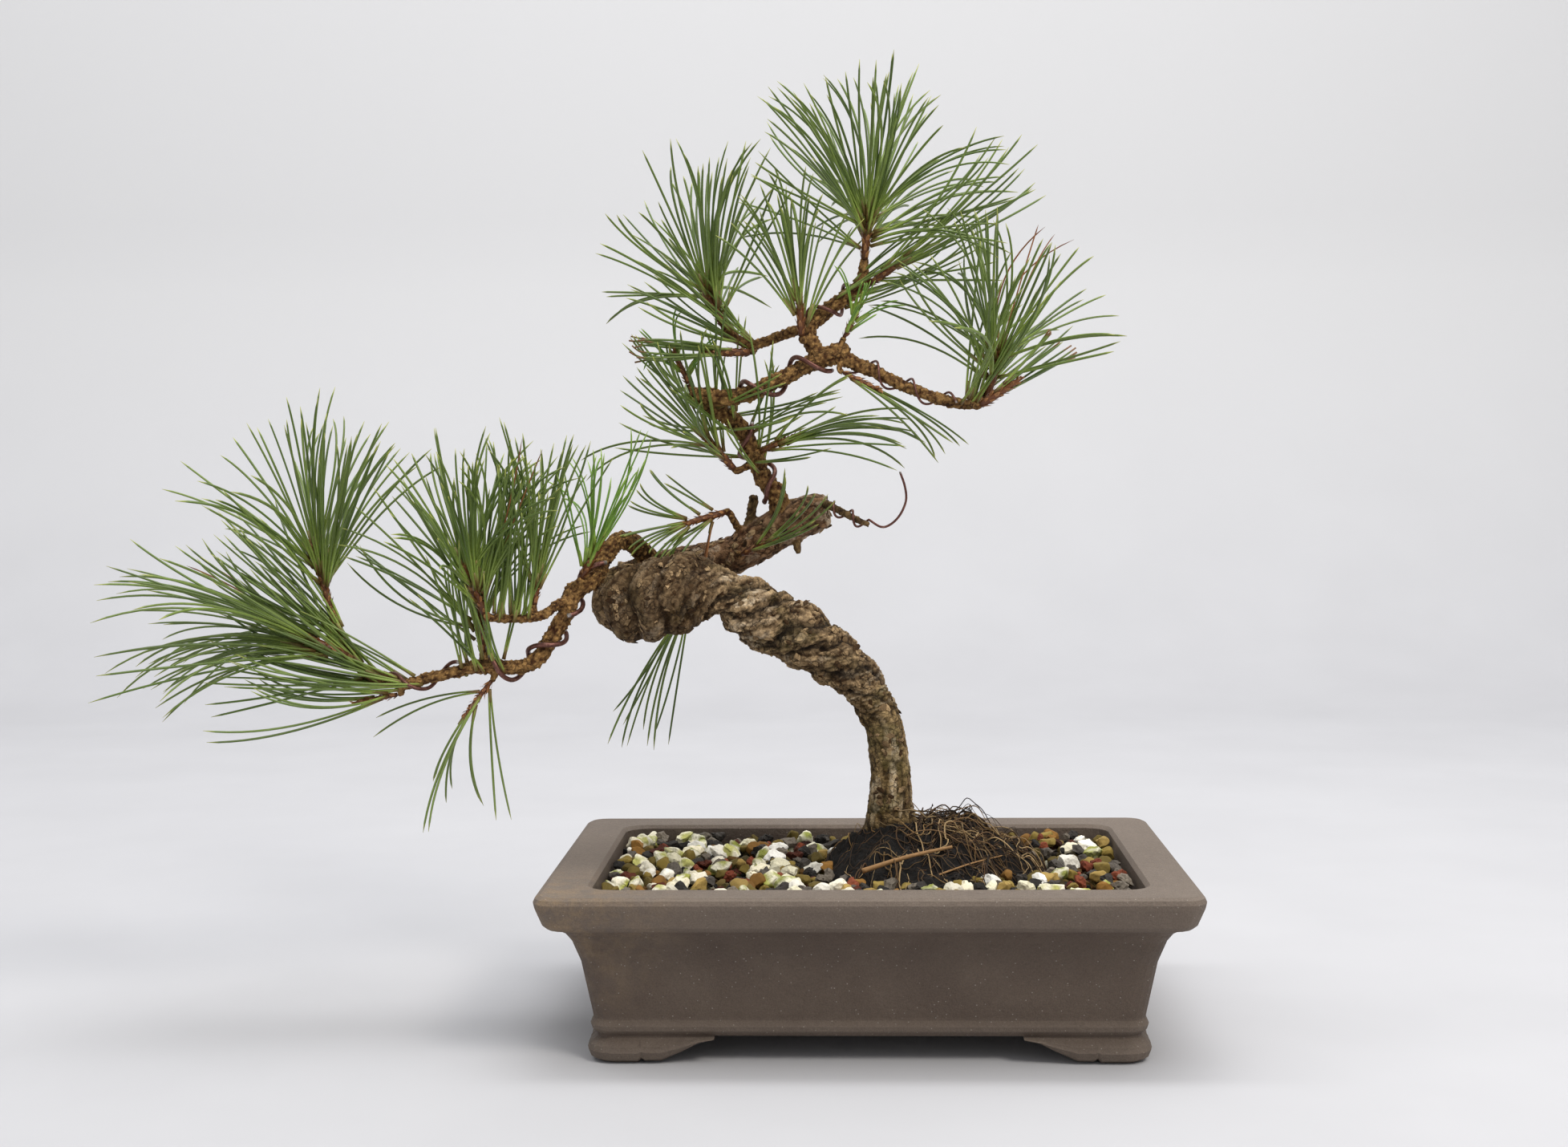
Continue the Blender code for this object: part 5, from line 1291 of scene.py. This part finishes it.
def make_underbed():
    """The fine grit that shows between the stones, painted dark as shade in the gaps."""
    bm = bmesh.new()
    bmesh.ops.create_grid(bm, x_segments=150, y_segments=100, size=1)
    half_x = (BED_HIGH.x - BED_LOW.x) / 2 - 0.3 * MM
    half_y = (BED_HIGH.y - BED_LOW.y) / 2 - 0.3 * MM
    for vertex in bm.verts:
        x = POT_X + vertex.co.x * half_x
        y = POT_Y + vertex.co.y * half_y
        rise = 0.9 * noise.noise(Vector((x, y, 0)) / (3 * MM))
        rise += 0.6 * noise.noise(Vector((x, y, 9)) / (1.4 * MM))
        vertex.co = (x, y, BED_TOP - (2.0 - rise) * MM)
    mesh = bpy.data.meshes.new("gravel_gap_shade")
    bm.to_mesh(mesh)
    bm.free()
    return placed(bpy.data.objects.new("gravel_gap_shade", mesh), gap_grit_painted_shade(), True)


# ---------------------------------------------------------------- the mound of roots
# Rings of the mound as (share of its full width, share of its full height).
MOUND_PROFILE = [(1.06, -0.1), (1.02, 0.16), (0.96, 0.36), (0.84, 0.55), (0.66, 0.73), (0.45, 0.88),
                 (0.3, 0.98), (0.16, 1.06)]
FOOT_X = POT_X + TRUNK[2][0] * MM
FOOT_Y = POT_Y + TRUNK[2][1] * MM


def mound_point(share, angle):
    """A point on the mound's skin. share runs from 0 at the trunk to 1 at the gravel."""
    shares = [row[0] for row in reversed(MOUND_PROFILE)]
    rises = [row[1] for row in reversed(MOUND_PROFILE)]
    middle_x = (MOUND_LOW.x + MOUND_HIGH.x) / 2
    middle_y = (MOUND_LOW.y + MOUND_HIGH.y) / 2
    half_x = (MOUND_HIGH.x - MOUND_LOW.x) / 2
    half_y = (MOUND_HIGH.y - MOUND_LOW.y) / 2
    wobble = 1 + 0.06 * math.sin(3 * angle + 0.6) + 0.05 * math.sin(5 * angle + 2.1)
    x = FOOT_X + share * (middle_x - FOOT_X) + share * wobble * half_x * math.cos(angle)
    y = FOOT_Y + share * (middle_y - FOOT_Y) + share * wobble * half_y * math.sin(angle)
    # To the right the old root ball stays high and then breaks off. Towards the front it slopes evenly.
    bulge = 1.35 * max(0.0, math.cos(angle - 0.1)) + 0.1 * math.cos(angle)
    kept = min(share, 1.0) ** (1 + bulge) + max(0.0, share - 1.0)
    rise = float(np.interp(kept, shares, rises)) * (MOUND_HIGH.z - SOIL_TOP) + SOIL_TOP
    rise -= 5.0 * MM * share * max(0.0, math.cos(angle))
    rise -= 6.0 * MM * share * (1.15 - share) * 2.2 * max(0.0, -math.sin(angle))
    # The mound falls away behind the trunk and to the left, where the bed comes up to it.
    rise -= 5.5 * MM * share * max(0, math.cos(angle - 2.9))
    here = Vector((x, y, 0))
    lumps = 5.0 * noise.noise(here / (12 * MM)) + 3.2 * noise.noise(here / (4.6 * MM))
    rise += lumps * MM * min(1, 2.2 * share)
    return Vector((x, y, rise))


def make_mound():
    """The mound's skin, ring by ring."""
    rings = 64
    sides = 200
    shape = Shape()
    points = []
    for k in range(rings):
        share = 0.12 + 0.96 * k / (rings - 1)
        for i in range(sides):
            p = mound_point(share, 2 * math.pi * i / sides)
            rough = 1.3 * noise.noise(p / (2.6 * MM)) + 0.9 * noise.noise(p / (1.2 * MM))
            points.append((p.x, p.y, p.z + rough * MM))
    faces = []
    for k in range(rings - 1):
        for i in range(sides):
            j = (i + 1) % sides
            faces.append((k * sides + i, (k + 1) * sides + i, (k + 1) * sides + j, k * sides + j))
    shape.put(points, faces, srgb("#221911"))
    return shape.piece("root_peat", peat(), "root_mat", True, ["root_mound"])


FIBRE_COLORS = [srgb(code) for code in ("#54391b", "#86683d", "#33210e", "#b3966a", "#241709", "#5d4425",
                                        "#3f2b14")]


def fibre(shape, rng, share, angle, length, radius, color, lift, wander=0.5):
    """A root that creeps over the mound from a place on it, rising and dipping as it goes."""
    step = 2.2 * MM
    heading_now = rng.uniform(-1.3, 1.3)
    points = []
    hump = rng.uniform(0.5, 1.5)
    count = max(4, int(length * MM / step))
    for k in range(count + 1):
        t = k / count
        p = mound_point(min(share, 1.12), angle)
        points.append((p.x, p.y, p.z + (0.3 + lift * math.sin(math.pi * min(1, t * hump)) ** 2) * MM))
        heading_now += rng.uniform(-wander, wander)
        share = max(0.14, share + step / (42 * MM) * math.cos(heading_now))
        angle += step / (42 * MM * max(share, 0.3)) * math.sin(heading_now)
    line = smooth_route(points, 1.3 * MM)
    taper = np.interp(np.linspace(0, 1, len(line)), [0, 0.7, 1], [1, 0.85, 0.35])
    shape.tube(line, radius * MM * taper, FIBRE_SIDES, color)


def make_fibres():
    """Fine roots over the mound, creeping, lying straight and standing up."""
    rng = random.Random(77)
    shape = Shape()
    for _ in range(FIBRES):
        share = rng.uniform(0.18, 0.98)
        angle = rng.uniform(0, 2 * math.pi)
        if rng.random() < 0.6:
            angle = rng.gauss(-0.35, 0.7)
        color = np.array(rng.choice(FIBRE_COLORS)) * rng.uniform(0.5, 1.05)
        lift = rng.uniform(0, 2.5) if rng.random() < 0.8 else rng.uniform(3, 7)
        radius = 0.13 + 0.27 * rng.random() ** 2
        fibre(shape, rng, share, angle, rng.uniform(8, 34), radius, color, lift, rng.uniform(0.3, 0.9))
    for start, end, radius in STRAIGHT_ROOTS:
        bowed = [(a + b) / 2 + c for a, b, c in zip(start, end, (0, -2, 1.2))]
        line = smooth_route([start, bowed, end], 1.5) * MM + ORIGIN
        shape.tube(line, radius * MM * np.linspace(1.1, 0.6, len(line)), 8, srgb("#957148"))
    for foot, bends in WISPS:
        rows = [np.array(foot, float)]
        for bend in bends:
            rows.append(rows[-1] + np.array(bend, float))
        line = smooth_route(rows, 1.2) * MM + ORIGIN
        shape.tube(line, 0.24 * MM * np.linspace(1.2, 0.5, len(line)), FIBRE_SIDES, srgb("#8b6b49"))
    return shape.piece("root_fibres", root_bark(), "root_mat", True)


# Two roots, one thick and one thin, that lie nearly straight across the front of the mound, in millimetres
# from the middle of the pot: start, end, radius. And fine dry roots that stand up off it: a foot, then each
# step from there.
STRAIGHT_ROOTS = [((-2, -34, 14), (34, -30, 23), 1.0), ((26, -36, 12), (58, -14, 17), 0.4)]
WISPS = [
    ((22, -6, 24), [(4, -2, 4), (6, -1, 1), (6, 0, -2), (3, -1, -4)]),
    ((26, -10, 22), [(5, 0, 6), (7, -2, 2), (4, -1, -3)]),
    ((30, -4, 20), [(3, 1, 7), (7, 0, 3), (4, 0, -1), (4, 1, -4)]),
    ((36, -12, 18), [(6, 0, 4), (8, -2, -1), (5, 0, -5)]),
    ((16, -12, 24), [(6, -4, 3), (8, -2, 0), (8, -3, -4)]),
    ((40, -8, 17), [(4, 0, 5), (5, 0, 3), (5, 0, -3)]),
    ((24, 4, 22), [(4, 2, 6), (6, 3, 1), (3, 2, -4)]),
]


# ---------------------------------------------------------------- stage, lights and camera
def make_stage():
    """A pale floor that curves up into a backdrop well behind the pot."""
    back = 1.5
    bend = 0.5
    profile = [(-14.0, 0.0), (back - bend, 0.0)]
    for k in range(1, 17):
        a = math.pi / 2 * k / 16
        profile.append((back - bend + bend * math.sin(a), bend - bend * math.cos(a)))
    profile.append((back, 3.2))
    points = []
    for side in (-14.0, 14.0):
        points += [(side, y, z - 0.0002) for y, z in profile]
    rows = len(profile)
    faces = [(k, rows + k, rows + k + 1, k + 1) for k in range(rows - 1)]
    mesh = bpy.data.meshes.new("paper_sweep")
    mesh.from_pydata(points, [], faces)
    mesh.shade_smooth()
    sweep = bpy.data.objects.new("paper_sweep", mesh)
    sweep.data.materials.append(paper())
    bpy.context.scene.collection.objects.link(sweep)


def soft_box(name, place, aim, size, power, color):
    """A rectangular area light that faces the point it is aimed at."""
    data = bpy.data.lights.new(name, "AREA")
    data.shape = "RECTANGLE"
    data.size, data.size_y = size
    data.energy = power
    data.color = srgb(color)[:3]
    lamp = bpy.data.objects.new(name, data)
    lamp.location = Vector(place)
    lamp.rotation_euler = (Vector(aim) - Vector(place)).to_track_quat("-Z", "Y").to_euler()
    bpy.context.scene.collection.objects.link(lamp)


def make_lights():
    """A lamp overhead, one at the front right, one on the backdrop, and a pale room."""
    middle = (POT_X - 0.06, POT_Y, 0.2)
    soft_box("overhead_box", (POT_X + 0.2, POT_Y - 0.12, 1.6), middle, (1.5, 1.2), 15, "#ffffff")
    soft_box("front_right_box", (POT_X + 1.0, POT_Y - 1.1, 1.5), middle, (0.55, 0.55), 15, "#fff9f0")
    soft_box("backdrop_box", (POT_X - 0.6, POT_Y + 0.1, 2.5), (POT_X - 0.6, POT_Y + 1.5, 1.3), (3.0, 0.7),
             36, "#ffffff")
    world = bpy.data.worlds.new("pale_room")
    world.use_nodes = True
    sky = world.node_tree.nodes["Background"]
    sky.inputs["Color"].default_value = srgb("#f4f5f7")
    sky.inputs["Strength"].default_value = 0.58
    bpy.context.scene.world = world


# The camera: its focal length in millimetres, how far it turns left, looks down and leans, in radians, and
# its place from the middle of the pot, with the height from the floor.
LENS = 48.1
YAW, DOWN, LEAN = 0.03397, 0.05666, -0.00773
CAMERA_PLACE = (-0.0042, -0.8628, 0.2339)


def make_camera():
    """A short telephoto at about the height of the trunk's bend."""
    data = bpy.data.cameras.new("camera")
    data.lens = LENS
    data.sensor_width = 36
    data.clip_start = 0.02
    camera = bpy.data.objects.new("camera", data)
    across, away, height = CAMERA_PLACE
    yaw = Matrix.Rotation(YAW, 4, "Z")
    pitch = Matrix.Rotation(math.pi / 2 - DOWN, 4, "X")
    roll = Matrix.Rotation(LEAN, 4, "Z")
    place = Matrix.Translation((POT_X + across, POT_Y + away, height))
    camera.matrix_world = place @ yaw @ pitch @ roll
    bpy.context.scene.collection.objects.link(camera)
    bpy.context.scene.camera = camera


# ---------------------------------------------------------------- the whole
dress("pot", unglazed_clay())
dress("soil_mix", growing_mix())
for node_name in list(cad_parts):
    if "screen" in node_name:
        dress(node_name, screen_plastic())
    elif "clip" in node_name:
        dress(node_name, clip_wire())
make_tree()
make_tufts()
make_wires()
make_underbed()
make_gravel()
make_mound()
make_fibres()
make_stage()
make_lights()
make_camera()
bpy.context.scene.view_settings.view_transform = "Standard"
